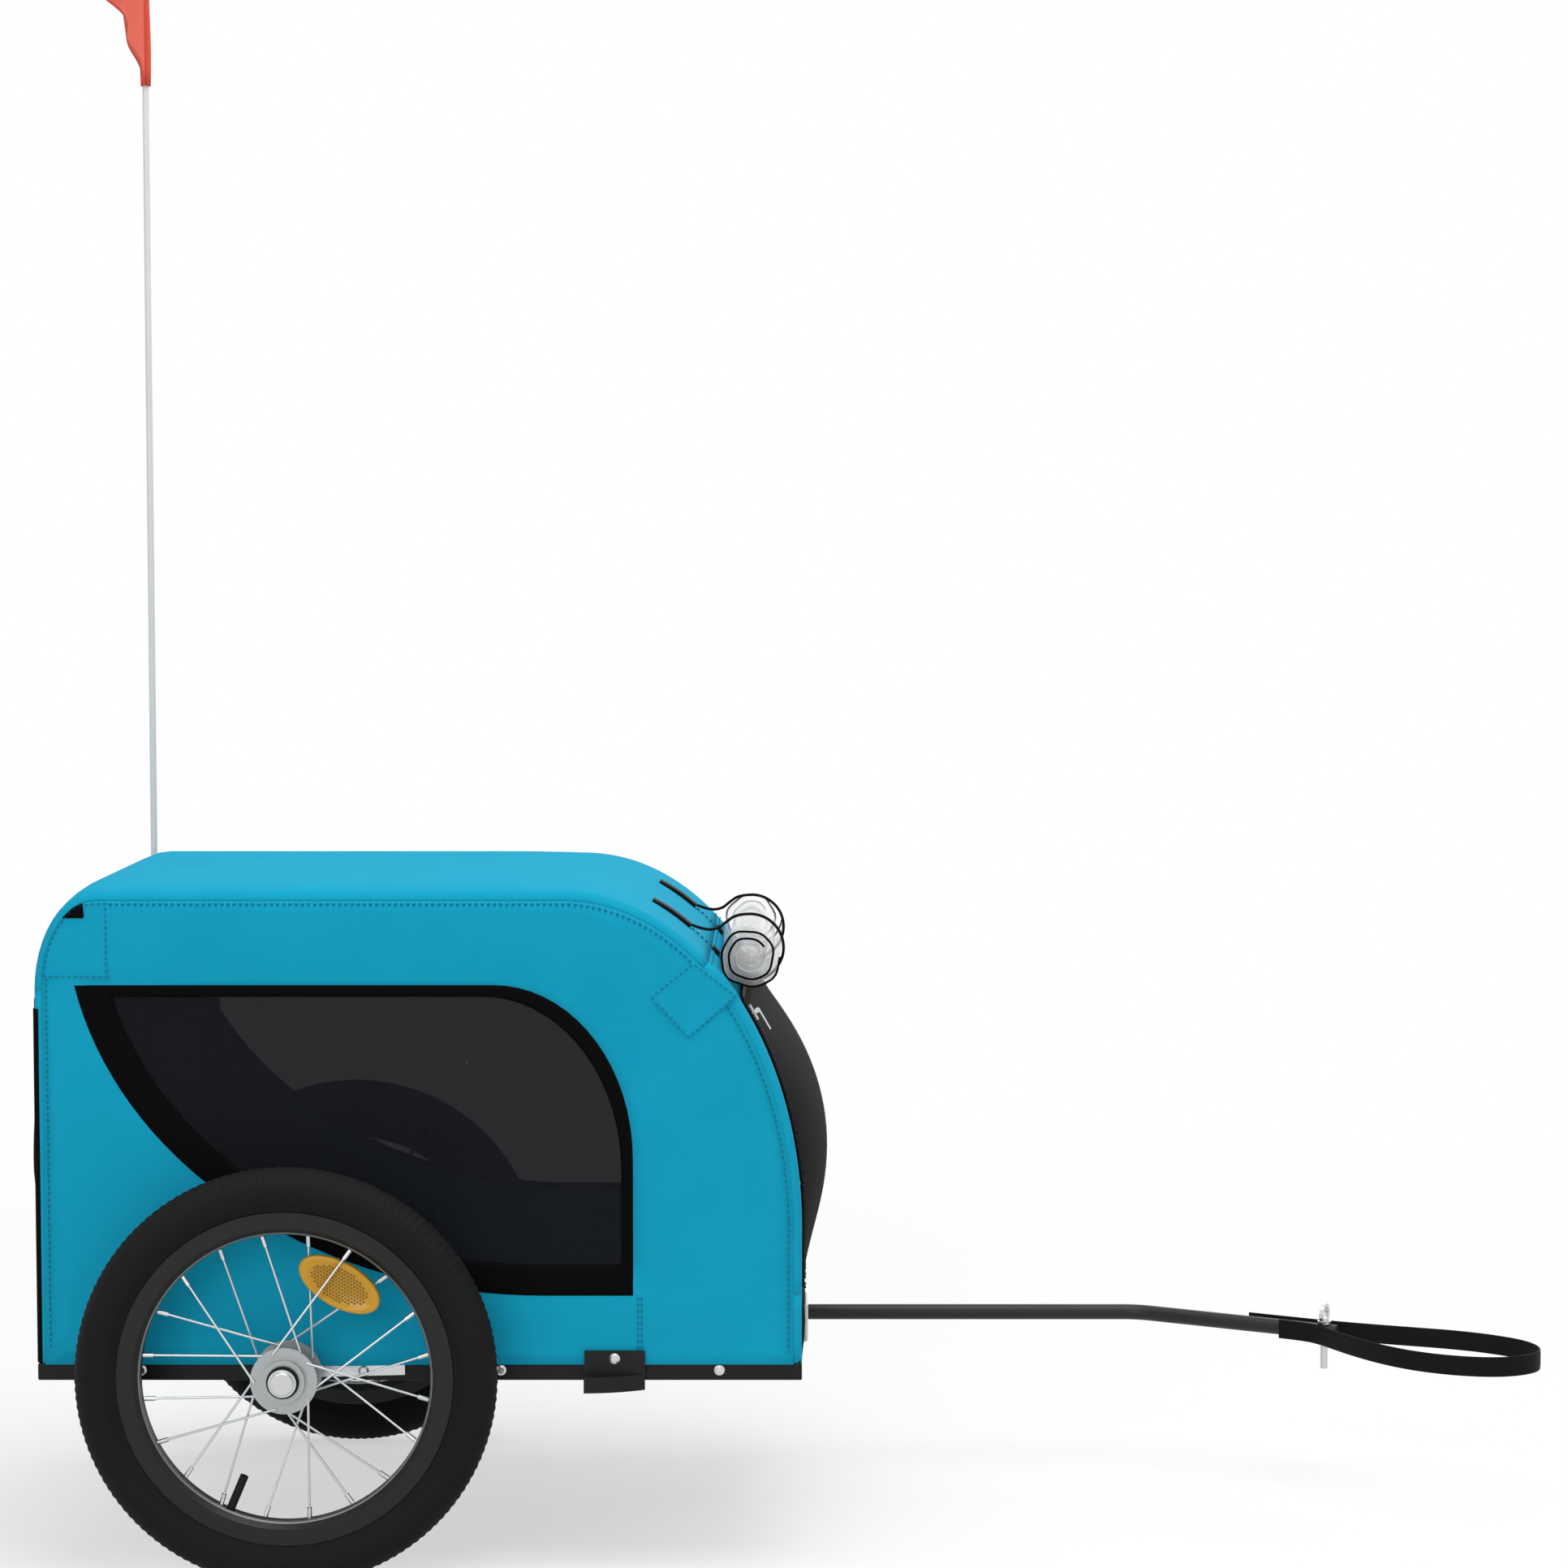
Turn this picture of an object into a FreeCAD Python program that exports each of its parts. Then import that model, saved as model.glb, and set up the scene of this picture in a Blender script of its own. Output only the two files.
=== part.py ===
"""Two-wheeled dog trailer for a bicycle: folding cabin, quick-release wheels, swinging tow bar and flag.

Millimetres. +X is forward, +Y is the trailer's left side, +Z is up, and Z 0 is the ground.
"""
import FreeCAD
import Part
import math
import os

Vector = FreeCAD.Vector

# Cabin
cabin_rear_x = -727.0
cabin_length = 721.0
cabin_width = 450.0
roof_z = 636.0
cloth_thickness = 2.0
rear_corner_length = 60.0
rear_corner_height = 85.0
nose_length = 229.0
nose_height = 326.0
roof_front_drop = 56.0
cut_past = 1.0

# Base frame
rail_below_axle = 16.0
rail_height = 16.0
rail_width = 20.0
cross_member_width = 20.0
cross_member_inset = 10.0
floor_thickness = 2.0
floor_edge_gap = 4.0
pad_thickness = 12.0
pad_edge_gap = 22.0
pad_hoop_gap = 5.5
pad_corner_radius = 30.0
pad_edge_radius = 5.0

# Hoops of the folding frame
hoop_tube_radius = 8.0
hoop_corner_radius = 45.0
hoop_pivot_rise = 25.0
hoop_end_length = 9.0
rear_hoop_inset = 98.0
front_hoop_inset = 78.0
front_hoop_angle = 24.0
hoop_cloth_gap = 0.7
bracket_thickness = 3.0
bracket_width = 24.0
hoop_side_gap = 0.5
pivot_pin_radius = 3.0
running_clearance = 0.05

# Windows
window_top_drop = 80.0
window_bottom_rise = 65.0
window_front_inset = 159.0
window_curve_inset = 244.0
window_curve_length = 446.0
window_curve_height = 363.0
window_corner_length = 130.0
window_corner_height = 164.0
window_trim_top = 11.0
window_trim_front = 11.0
window_trim_bottom = 24.0
window_trim_rear = 29.0
window_trim_thickness = 1.5
mesh_thickness = 1.0
mesh_lap = 6.0
mesh_edge_clearance = 0.2

# Corner patches on the side covers
patch_thickness = 1.0
rear_patch_length = 62.0
rear_patch_height = 56.0
rear_patch_edge = 12.0
front_patch_inset = 106.0
front_patch_drop = 91.0
front_patch_size = 62.0
front_patch_turn = 40.0

# Rear wall
rear_pocket_width = 360.0
rear_pocket_drop = 103.0
rear_pocket_height = 188.0
rear_pocket_depth = 3.0
rear_pocket_bulge = 3.0
rear_pocket_full_height = 40.0
rear_reflector_width = 60.0
rear_reflector_height = 39.0
rear_reflector_depth = 5.0
rear_reflector_rise = 64.0
rear_reflector_y = 160.0

# Front door and what is on it
door_half_width = 195.0
door_bottom_rise = 68.0
door_top_drop = 100.0
door_lap = 6.0
door_thickness = 2.5
door_clearance = 0.7
door_edge_proud = 2.0
door_hem_radius = 1.4
door_bulge = 26.0
lower_cover_gap = 3.0
front_reflector_width = 60.0
front_reflector_height = 36.0
front_reflector_depth = 6.0
front_reflector_rise = 29.0
front_reflector_y = 150.0
slider_width = 9.0
slider_length = 16.0
slider_thickness = 4.0
slider_drop = 18.0
slider_inset = 7.0
slider_gap = 0.5
slider_pin_radius = 1.2
slider_post = 1.6
slider_pin_height = 3.0
pull_length = 22.0
pull_side_gap = 0.3
pull_thickness = 1.2

# Rolled rain cover with its straps
roll_radius = 30.0
roll_core_radius = 10.0
roll_turns = 3
roll_steps = 24
roll_sheet = 2.2
roll_half_width = 185.0
roll_nose_angle = 40.0
seat_gap = 0.3
strap_side_y = 100.0
tab_to_roll = 29.1984
tab_length = 35.0
tab_width = 20.0
tab_thickness = 2.0
cord_radius = 1.5
cord_anchor_angle = 44.0

# Wheels
track = 560.0
axle_inset = 242.0
tyre_radius = 197.0
tyre_half_width = 22.0
tyre_wall = 3.5
bead_radius = 156.0
bead_thickness = 2.6
tube_wall = 1.5
rim_inner_radius = 135.0
rim_half_width = 12.0
rim_wall = 2.0
rim_well_depth = 5.0
rim_floor = 12.0
fit_gap = 0.2
spoke_count = 20
spoke_radius = 1.1
spoke_hole_radius = 27.0
spoke_lean = 48.0
spoke_rim_spread = 2.4
nipple_radius = 2.2
nipple_length = 10.0
flange_radius = 31.0
flange_thickness = 2.4
flange_half_spread = 16.5
hub_step_radius = 20.0
hub_half_length = 23.0
hub_barrel_radius = 14.0
hub_bore_gap = 2.0
bearing_radius = 11.0
bearing_width = 8.0
dust_ring_radius = 15.0
dust_ring_width = 3.0
axle_radius = 6.0
axle_head_radius = 13.0
axle_head_length = 6.0
axle_shoulder_radius = 8.0
button_radius = 10.8
button_stem_radius = 3.0
button_stem_length = 14.0
button_stroke = 3.0
button_cap = 4.0
button_well_depth = 20.0
spring_wire = 0.8
valve_radius = 4.0
valve_length = 34.0
valve_angle = 247.0
reflector_length = 83.0
reflector_height = 42.0
reflector_thickness = 5.0
reflector_centre_radius = 100.0
reflector_angle = 60.0

# Axle sockets
socket_radius = 9.0
socket_outer_y = 250.0
plate_thickness = 4.0
plate_rear_length = 20.0
plate_front_length = 105.0
plate_rear_height = 24.0
plate_front_height = 10.0

# Small fittings on the rails
screw_head_radius = 5.0
screw_head_height = 2.5
screw_top_radius = 3.2
screw_rise = 2.0
plate_screw_offset = 66.0
middle_screw_share = 129 / 208
hook_inset = 205.0
hook_length = 57.0
hook_height = 29.0
hook_plate = 3.0
hook_lip_height = 15.0
hook_lip_drop = 8.0
hook_reach = 15.0
hook_lip_thickness = 3.0
hook_belly_along = 0.45
hook_belly_out = 0.8
hook_screw_rise = 22.0

# Tow bar on the left
tow_bar_y = 185.0
tow_bar_drop = 21.0
tow_bar_radius = 8.0
tow_pivot_inset = 54.0
tow_tail_length = 50.0
tow_straight_length = 410.0
tow_bend_angle = 28.0
tow_bend_radius = 60.0
tow_end_length = 222.0
tow_sleeve_radius = 14.0
tow_stud_radius = 5.0
tow_plate_length = 90.0
tow_plate_thickness = 4.0
knob_radius = 20.0
knob_height = 14.0
knob_lobes = 5
knob_lobe_radius = 7.0
hitch_pin_inset = 14.0
hitch_pin_radius = 4.0
hitch_tip_radius = 3.8
hitch_pin_drop = 30.0
hitch_collar_radius = 7.0
hitch_collar_height = 3.0
hitch_eye_radius = 7.0
hitch_eye_wire = 4.0
safety_strap_width = 20.0
safety_strap_thickness = 2.0
strap_reach = 221.3
strap_left_swell = 15.0
strap_right_swell = 90.0

# Flag
flag_pole_inset = 35.0
flag_pole_radius = 3.5
flag_pole_top_z = 1640.0
flag_seat_rise = 7.0
flag_socket_radius = 7.0
flag_socket_height = 70.0
flag_socket_floor = 4.0
flag_height = 185.0
flag_fly = 215.0
flag_thickness = 1.2
flag_ripple = 9.0
flag_ripple_count = 2.0
flag_steps = 24
flag_tip_height = 30.8
flag_sleeve_radius = 5.5
flag_top_gap = 6.0

# Places worked out from the sizes above
half_width = cabin_width / 2
cabin_front_x = cabin_rear_x + cabin_length
inner_half_width = half_width - cloth_thickness
nose_x = cabin_front_x - nose_length
nose_z = roof_z - nose_height
roof_front_z = roof_z - roof_front_drop
axle_x = cabin_rear_x + axle_inset
axle_z = tyre_radius
rail_bottom_z = axle_z - rail_below_axle
rail_top_z = rail_bottom_z + rail_height
rail_inner_y = half_width - rail_width
pivot_z = rail_top_z + hoop_pivot_rise
rear_hoop_x = cabin_rear_x + rear_hoop_inset
front_hoop_x = cabin_front_x - front_hoop_inset
rear_leg_y = inner_half_width - hoop_cloth_gap - hoop_tube_radius
front_leg_y = rail_inner_y - bracket_thickness - hoop_side_gap - hoop_tube_radius
rear_hoop_top_z = roof_z - cloth_thickness - hoop_cloth_gap - hoop_tube_radius
window_top_z = roof_z - window_top_drop
window_bottom_z = rail_top_z + window_bottom_rise
window_front_x = cabin_front_x - window_front_inset
window_curve_x = cabin_front_x - window_curve_inset
front_patch_x = cabin_front_x - front_patch_inset
front_patch_z = roof_z - front_patch_drop
rear_pocket_top_z = roof_z - rear_pocket_drop
rear_pocket_bottom_z = rear_pocket_top_z - rear_pocket_height
rear_reflector_z = rail_top_z + rear_reflector_rise
front_reflector_z = rail_top_z + front_reflector_rise
door_bottom_z = rail_top_z + door_bottom_rise
door_top_z = roof_z - door_top_drop
lower_cover_top_z = door_bottom_z - lower_cover_gap
roll_seat_x = nose_x + nose_length * math.sin(math.radians(roll_nose_angle))
tab_front_x = roll_seat_x - tab_to_roll
tab_rear_x = tab_front_x - tab_length
wheel_y = track / 2
hook_x = cabin_front_x - hook_inset
plate_screw_x = axle_x + plate_screw_offset
middle_screw_x = plate_screw_x + (hook_x - plate_screw_x) * middle_screw_share
tow_bar_z = rail_bottom_z - tow_bar_drop
tow_pivot_x = cabin_front_x - tow_pivot_inset
tow_bend_x = tow_pivot_x + tow_straight_length
tow_bend_turn = math.radians(tow_bend_angle)
tow_bend_direction = Vector(math.cos(tow_bend_turn), -math.sin(tow_bend_turn), 0)
tow_bend_point = Vector(tow_bend_x, tow_bar_y, tow_bar_z)
tow_end_point = tow_bend_point + tow_bend_direction * tow_end_length
hitch_point = tow_bend_point + tow_bend_direction * (tow_end_length - hitch_pin_inset)
tow_plate_z = rail_bottom_z - tow_plate_thickness
flag_pole_x = cabin_rear_x + flag_pole_inset
flag_pole_y = half_width + flag_socket_radius
flag_seat_z = rail_bottom_z + flag_seat_rise


def box(x0, x1, y0, y1, z0, z1):
    """A block between two corners."""
    corner = Vector(min(x0, x1), min(y0, y1), min(z0, z1))
    return Part.makeBox(abs(x1 - x0), abs(y1 - y0), abs(z1 - z0), corner)


def rod(start, end, radius):
    """A cylinder from one point to another."""
    along = end - start
    return Part.makeCylinder(radius, along.Length, start, along)


def ring(outer, inner, start, end):
    """A tube from one point to another."""
    return rod(start, end, outer).cut(rod(start, end, inner))


def join(shapes):
    """One solid from overlapping shapes."""
    whole = shapes[0]
    for shape in shapes[1:]:
        whole = whole.fuse(shape)
    return whole.removeSplitter()


def across(edges, y0, y1):
    """A solid from closed edges in the plane Y 0, from y0 to y1."""
    face = Part.Face(Part.Wire(Part.__sortEdges__(edges)))
    face.translate(Vector(0, min(y0, y1), 0))
    return face.extrude(Vector(0, abs(y1 - y0), 0))


def point(x, z):
    """A point in the side view."""
    return Vector(x, 0, z)


def side_polygon(points):
    """Closed edges through points of the side view."""
    wire = Part.makePolygon(points + points[:1])
    return list(wire.Edges)


def mirrored(shape):
    """The same shape on the other side of the trailer."""
    return shape.mirror(Vector(0, 0, 0), Vector(0, 1, 0))


def save(name, shape):
    """Write one piece of the trailer."""
    shape.exportStep("parts/" + name + ".step")
    solids = len(shape.Solids)
    print(name, "solids", solids, "valid", shape.isValid(), "volume", round(shape.Volume))


def save_pair(name, right_shape):
    """Write a piece on the right and its mirror image on the left."""
    save(name + "_right", right_shape)
    save(name + "_left", mirrored(right_shape))


def ellipse_arc(centre, height, length, start, end):
    """An arc of an upright ellipse; degrees count from its top towards the side where length points."""
    top = centre + Vector(0, 0, height)
    side = centre + Vector(length, 0, 0)
    if height >= abs(length):
        curve = Part.Ellipse(top, side, centre)
        return Part.ArcOfEllipse(curve, math.radians(start), math.radians(end)).toShape()
    curve = Part.Ellipse(side, top, centre)
    return Part.ArcOfEllipse(curve, math.radians(90 - end), math.radians(90 - start)).toShape()


def nose_point(angle, inset=0.0):
    """A point of the rounded nose; the angle counts from its top to its front."""
    turn = math.radians(angle)
    x = nose_x + (nose_length - inset) * math.sin(turn)
    z = nose_z + (nose_height - inset) * math.cos(turn)
    return point(x, z)


def nose_normal(angle):
    """The outward direction at a point of the nose."""
    turn = math.radians(angle)
    normal = Vector(math.sin(turn) / nose_length, 0, math.cos(turn) / nose_height)
    return normal.normalize()


def nose_angle_at(z):
    """The nose angle at a height."""
    return math.degrees(math.acos((z - nose_z) / nose_height))


def nose_arc(start, end, inset=0.0):
    """A stretch of the nose between two angles."""
    return ellipse_arc(point(nose_x, nose_z), nose_height - inset, nose_length - inset, start, end)


def rear_corner_arc(inset=0.0):
    """The rounded corner between the rear wall and the roof."""
    centre = point(cabin_rear_x + rear_corner_length, roof_z - rear_corner_height)
    return ellipse_arc(centre, rear_corner_height - inset, inset - rear_corner_length, 0, 90)


def ends(edge):
    """The two end points of an edge."""
    return edge.Vertexes[0].Point, edge.Vertexes[-1].Point


def line(start, end):
    """A straight edge."""
    return Part.LineSegment(start, end).toShape()


# Base frame
def axle_hole(outer_y, inner_y, radius):
    """A cutter along the right axle that runs past both faces."""
    start = Vector(axle_x, -outer_y - cut_past, axle_z)
    return rod(start, Vector(axle_x, -inner_y + cut_past, axle_z), radius)


def side_rail():
    """Right base rail, notched where the axle socket sits."""
    rail = box(cabin_rear_x, cabin_front_x, -half_width, -rail_inner_y, rail_bottom_z, rail_top_z)
    notch = axle_hole(half_width, rail_inner_y, socket_radius + fit_gap)
    return rail.cut(notch)


def cross_members():
    """Front, middle and rear tubes between the rails."""
    places = (
        cabin_rear_x + cross_member_inset,
        axle_x - cross_member_width / 2,
        cabin_front_x - cross_member_inset - cross_member_width,
    )
    tubes = []
    for x in places:
        tubes.append(box(x, x + cross_member_width, -rail_inner_y, rail_inner_y, rail_bottom_z, rail_top_z))
    return Part.makeCompound(tubes)


def floor_panel():
    """Floor board on the cross members."""
    edge_y = rail_inner_y - bracket_thickness - floor_edge_gap
    rear = cabin_rear_x + cloth_thickness + floor_edge_gap
    front = cabin_front_x - cloth_thickness - floor_edge_gap
    return box(rear, front, -edge_y, edge_y, rail_top_z, rail_top_z + floor_thickness)


def floor_pad():
    """Soft pad on the floor, rounded at its corners and along its top edge."""
    edge_y = front_leg_y - hoop_tube_radius - pad_hoop_gap
    rear = cabin_rear_x + pad_edge_gap
    front = cabin_front_x - pad_edge_gap
    low = rail_top_z + floor_thickness
    pad = box(rear, front, -edge_y, edge_y, low, low + pad_thickness)
    uprights = [e for e in pad.Edges if abs(e.BoundBox.ZLength - pad_thickness) < 0.01]
    pad = pad.makeFillet(pad_corner_radius, uprights)
    top_edges = [e for e in pad.Edges if e.BoundBox.ZMin > low + pad_thickness - 0.01]
    return pad.makeFillet(pad_edge_radius, top_edges)


def axle_socket():
    """Right axle socket with its tapered plate on the rail."""
    tube = rod(Vector(axle_x, -socket_outer_y, axle_z), Vector(axle_x, -rail_inner_y, axle_z), socket_radius)
    rear = axle_x - plate_rear_length
    front = axle_x + plate_front_length
    outline = side_polygon([
        point(rear, axle_z - plate_rear_height / 2),
        point(axle_x + plate_rear_length, axle_z - plate_rear_height / 2),
        point(front, axle_z - plate_front_height),
        point(front, axle_z),
        point(axle_x + plate_rear_length, axle_z + plate_rear_height / 2),
        point(rear, axle_z + plate_rear_height / 2),
    ])
    plate = across(outline, -half_width - plate_thickness, -half_width)
    low_rim = box(rear, front, -half_width - plate_thickness, -half_width, 0, rail_top_z)
    upper = plate.cut(low_rim)
    upper_clear = upper.cut(box(rear, front, -half_width - cloth_thickness, -half_width, rail_top_z, roof_z))
    whole = join([tube, plate.common(low_rim), upper_clear])
    bore = axle_hole(socket_outer_y, rail_inner_y, axle_radius + running_clearance)
    return whole.cut(bore)


def screw_head(x, face_y, z):
    """A low head with a sloped edge on a right-hand face."""
    face = Vector(x, face_y, z)
    outward = Vector(0, -1, 0)
    half = screw_head_height / 2
    rim_disc = rod(face, face + outward * half, screw_head_radius)
    slope = Part.makeCone(screw_head_radius, screw_top_radius, half, face + outward * half, outward)
    return join([rim_disc, slope])


def rail_screws():
    """Screws along both rails and one in each hook plate."""
    z = (rail_bottom_z + rail_top_z) / 2 + screw_rise
    hook_face_y = -half_width - cloth_thickness - hook_plate
    heads = [
        screw_head(rear_hoop_x, -half_width, z),
        screw_head(plate_screw_x, -half_width - plate_thickness, z),
        screw_head(middle_screw_x, -half_width, z),
        screw_head(front_hoop_x, -half_width, z),
        screw_head(hook_x + hook_length / 2, hook_face_y, rail_bottom_z + hook_screw_rise),
    ]
    return Part.makeCompound(heads + [mirrored(head) for head in heads])


def cover_hooks():
    """Hook plates on both rails, each with a curved lip that stands out and is open at its rear."""
    face_y = -half_width - cloth_thickness
    hook_end_x = hook_x + hook_length
    plate = box(hook_x, hook_end_x, face_y - hook_plate, face_y, rail_bottom_z, rail_bottom_z + hook_height)
    plate = plate.fuse(box(hook_x, hook_end_x, face_y, -half_width, rail_bottom_z, rail_top_z))
    root = Vector(hook_x + hook_length, face_y - hook_plate, 0)
    tip = Vector(hook_x, face_y - hook_plate - hook_reach, 0)
    middle = Vector(hook_x + hook_length * hook_belly_along,
                    face_y - hook_plate - hook_reach * hook_belly_out, 0)
    back = Vector(0, hook_lip_thickness, 0)
    outer = Part.Arc(root, middle, tip).toShape()
    inner = Part.Arc(tip + back, middle + back, root + back).toShape()
    edges = [outer, line(tip, tip + back), inner, line(root + back, root)]
    face = Part.Face(Part.Wire(Part.__sortEdges__(edges)))
    lip = face.extrude(Vector(0, 0, hook_lip_height))
    lip.translate(Vector(0, 0, rail_bottom_z - hook_lip_drop))
    hook = join([plate, lip])
    return Part.makeCompound([hook, mirrored(hook)])


# Folding frame
def hoop_brackets():
    """Plates on the rails with the studs that the hoops turn on."""
    plates = []
    for x, leg_y, side in ((rear_hoop_x, rear_leg_y, 1), (front_hoop_x, front_leg_y, -1)):
        low = rail_bottom_z
        high = pivot_z + bracket_width / 2
        half = bracket_width / 2
        plate = box(x - half, x + half, -rail_inner_y, -rail_inner_y + bracket_thickness, low, high)
        inside_y = -rail_inner_y + bracket_thickness / 2
        reach_y = -leg_y - side * hoop_tube_radius
        stud = rod(Vector(x, inside_y, pivot_z), Vector(x, reach_y, pivot_z), pivot_pin_radius)
        bracket = join([plate, stud])
        plates.append(bracket)
        plates.append(mirrored(bracket))
    return Part.makeCompound(plates)


def hoop(pivot, tip, leg_y):
    """A bent tube from one pivot up, across and down to the other."""
    up = (tip - pivot).normalize()
    foot = pivot - up * hoop_end_length
    corner = tip - up * hoop_corner_radius
    turn = hoop_corner_radius * (1 - math.sqrt(0.5))
    side = Vector(0, leg_y, 0)
    inward = Vector(0, hoop_corner_radius, 0)
    bend = tip - up * turn
    path = [
        line(foot - side, corner - side),
        Part.Arc(corner - side, bend - side + Vector(0, turn, 0), tip - side + inward).toShape(),
        line(tip - side + inward, tip + side - inward),
        Part.Arc(tip + side - inward, bend + side - Vector(0, turn, 0), corner + side).toShape(),
        line(corner + side, foot + side),
    ]
    section = Part.Wire([Part.Circle(foot - side, up, hoop_tube_radius).toShape()])
    tube = Part.Wire(path).makePipeShell([section], True, False)
    length = sum(edge.Length for edge in path)
    share = tube.Volume / (math.pi * hoop_tube_radius ** 2 * length)
    print("hoop length", round(length), "volume against section times length", round(share, 4))
    past = side + Vector(0, hoop_tube_radius + cut_past, 0)
    hole = rod(pivot - past, pivot + past, pivot_pin_radius + running_clearance)
    return tube.cut(hole)


def rear_hoop():
    """Upright hoop under the rear of the roof."""
    return hoop(Vector(rear_hoop_x, 0, pivot_z), Vector(rear_hoop_x, 0, rear_hoop_top_z), rear_leg_y)


def front_hoop_tip():
    """Middle of the front hoop's top tube, just under the nose."""
    depth = cloth_thickness + hoop_cloth_gap + hoop_tube_radius
    return nose_point(front_hoop_angle) - nose_normal(front_hoop_angle) * depth


def front_hoop():
    """Narrower hoop under the nose."""
    return hoop(Vector(front_hoop_x, 0, pivot_z), front_hoop_tip(), front_leg_y)


# Cover
def roof_cover():
    """Cloth from the rear wall over the roof to the nose seam."""
    seam = nose_angle_at(roof_front_z)
    outer_corner = rear_corner_arc()
    inner_corner = rear_corner_arc(cloth_thickness)
    outer_nose = nose_arc(0, seam)
    inner_nose = nose_arc(0, seam, cloth_thickness)
    outer_top = point(cabin_rear_x + rear_corner_length, roof_z)
    inner_top = outer_top - Vector(0, 0, cloth_thickness)
    rear_z = roof_z - rear_corner_height
    edges = [
        outer_corner,
        line(outer_top, nose_point(0)),
        outer_nose,
        line(nose_point(seam), nose_point(seam, cloth_thickness)),
        inner_nose,
        line(nose_point(0, cloth_thickness), inner_top),
        inner_corner,
        line(point(cabin_rear_x + cloth_thickness, rear_z), point(cabin_rear_x, rear_z)),
    ]
    return across(edges, -inner_half_width, inner_half_width)


def cabin_outline():
    """Closed edges of the cabin's side, above the rails."""
    rear_z = roof_z - rear_corner_height
    return [
        line(point(cabin_rear_x, rail_top_z), point(cabin_rear_x, rear_z)),
        rear_corner_arc(),
        line(point(cabin_rear_x + rear_corner_length, roof_z), nose_point(0)),
        nose_arc(0, 90),
        line(nose_point(90), point(cabin_front_x, rail_top_z)),
        line(point(cabin_front_x, rail_top_z), point(cabin_rear_x, rail_top_z)),
    ]


def window_outline(top, front, bottom, rear):
    """Closed edges of a window drawn in by a margin on each side."""
    top_z = window_top_z - top
    front_x = window_front_x - front
    bottom_z = window_bottom_z + bottom
    length = window_curve_length - rear
    height = window_curve_height - bottom
    centre_z = window_bottom_z + window_curve_height
    centre = point(window_curve_x, centre_z)
    start = 180 - math.degrees(math.acos((centre_z - top_z) / height))
    rear_x = window_curve_x - length * math.sin(math.radians(start))
    corner = point(front_x - window_corner_length, top_z - window_corner_height)
    return [
        ellipse_arc(centre, height, -length, start, 180),
        line(point(window_curve_x, bottom_z), point(front_x, bottom_z)),
        line(point(front_x, bottom_z), point(front_x, corner.z)),
        ellipse_arc(corner, window_corner_height, window_corner_length, 0, 90),
        line(point(corner.x, top_z), point(rear_x, top_z)),
    ]


def window_lap():
    """Margins from the trim's outer edge to the edge of the mesh."""
    return (
        window_trim_top - mesh_lap,
        window_trim_front - mesh_lap,
        window_trim_bottom - mesh_lap,
        window_trim_rear - mesh_lap,
    )


def side_cover():
    """Right side of the cover with its window hole."""
    wall = across(cabin_outline(), -half_width, -inner_half_width)
    hole = across(window_outline(*window_lap()), -half_width - cut_past, -inner_half_width + cut_past)
    socket_hole = axle_hole(half_width, inner_half_width, socket_radius + fit_gap)
    return wall.cut(hole).cut(socket_hole)


def window_mesh():
    """Right window mesh in its hole."""
    margins = [margin + mesh_edge_clearance for margin in window_lap()]
    middle = (half_width + inner_half_width) / 2
    return across(window_outline(*margins), -middle - mesh_thickness / 2, -middle + mesh_thickness / 2)


def window_trim():
    """Right window's black border."""
    outer = across(window_outline(0, 0, 0, 0), -half_width - window_trim_thickness, -half_width)
    margins = (window_trim_top, window_trim_front, window_trim_bottom, window_trim_rear)
    outer_y = -half_width - window_trim_thickness - cut_past
    inner = across(window_outline(*margins), outer_y, -half_width + cut_past)
    return outer.cut(inner)


def corner_patches():
    """Cloth patches over the hoops' upper corners, on both sides."""
    y0 = -half_width - patch_thickness
    rear_x = cabin_rear_x + rear_patch_edge
    rear = box(rear_x, rear_x + rear_patch_length, y0, -half_width, window_top_z + rear_patch_edge,
               window_top_z + rear_patch_edge + rear_patch_height)
    rear = rear.common(across(cabin_outline(), y0, -half_width))
    half = front_patch_size / 2
    front = box(-half, half, y0, -half_width, -half, half)
    front.rotate(Vector(0, 0, 0), Vector(0, 1, 0), front_patch_turn)
    front.translate(Vector(front_patch_x, 0, front_patch_z))
    front = front.common(across(cabin_outline(), y0, -half_width))
    return Part.makeCompound([rear, front, mirrored(rear), mirrored(front)])


def rear_cover():
    """Rear wall of the cover."""
    return box(cabin_rear_x, cabin_rear_x + cloth_thickness, -inner_half_width, inner_half_width,
               rail_top_z, roof_z - rear_corner_height)


def rear_pocket():
    """Black mesh pocket on the rear wall, fuller towards its bottom."""
    full_x = cabin_rear_x - rear_pocket_depth - rear_pocket_bulge
    outer = [
        point(cabin_rear_x, rear_pocket_top_z),
        point(cabin_rear_x - rear_pocket_depth, rear_pocket_top_z - rear_pocket_depth),
        point(cabin_rear_x - rear_pocket_depth, (rear_pocket_top_z + rear_pocket_bottom_z) / 2),
        point(full_x, rear_pocket_bottom_z + rear_pocket_full_height),
        point(full_x, rear_pocket_bottom_z + rear_pocket_depth),
        point(cabin_rear_x, rear_pocket_bottom_z),
    ]
    return across(side_polygon(outer), -rear_pocket_width / 2, rear_pocket_width / 2)


def reflector_pair(face_x, direction, width, height, depth, z, y):
    """Two reflector blocks with rounded edges on an end wall."""
    blocks = []
    for side in (-1, 1):
        block = box(face_x, face_x + direction * depth, side * y - width / 2, side * y + width / 2,
                    z - height / 2, z + height / 2)
        outer = [e for e in block.Edges if abs(e.CenterOfMass.x - face_x - direction * depth) < 0.01]
        blocks.append(block.makeFillet(depth / 3, outer))
    return Part.makeCompound(blocks)


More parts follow.
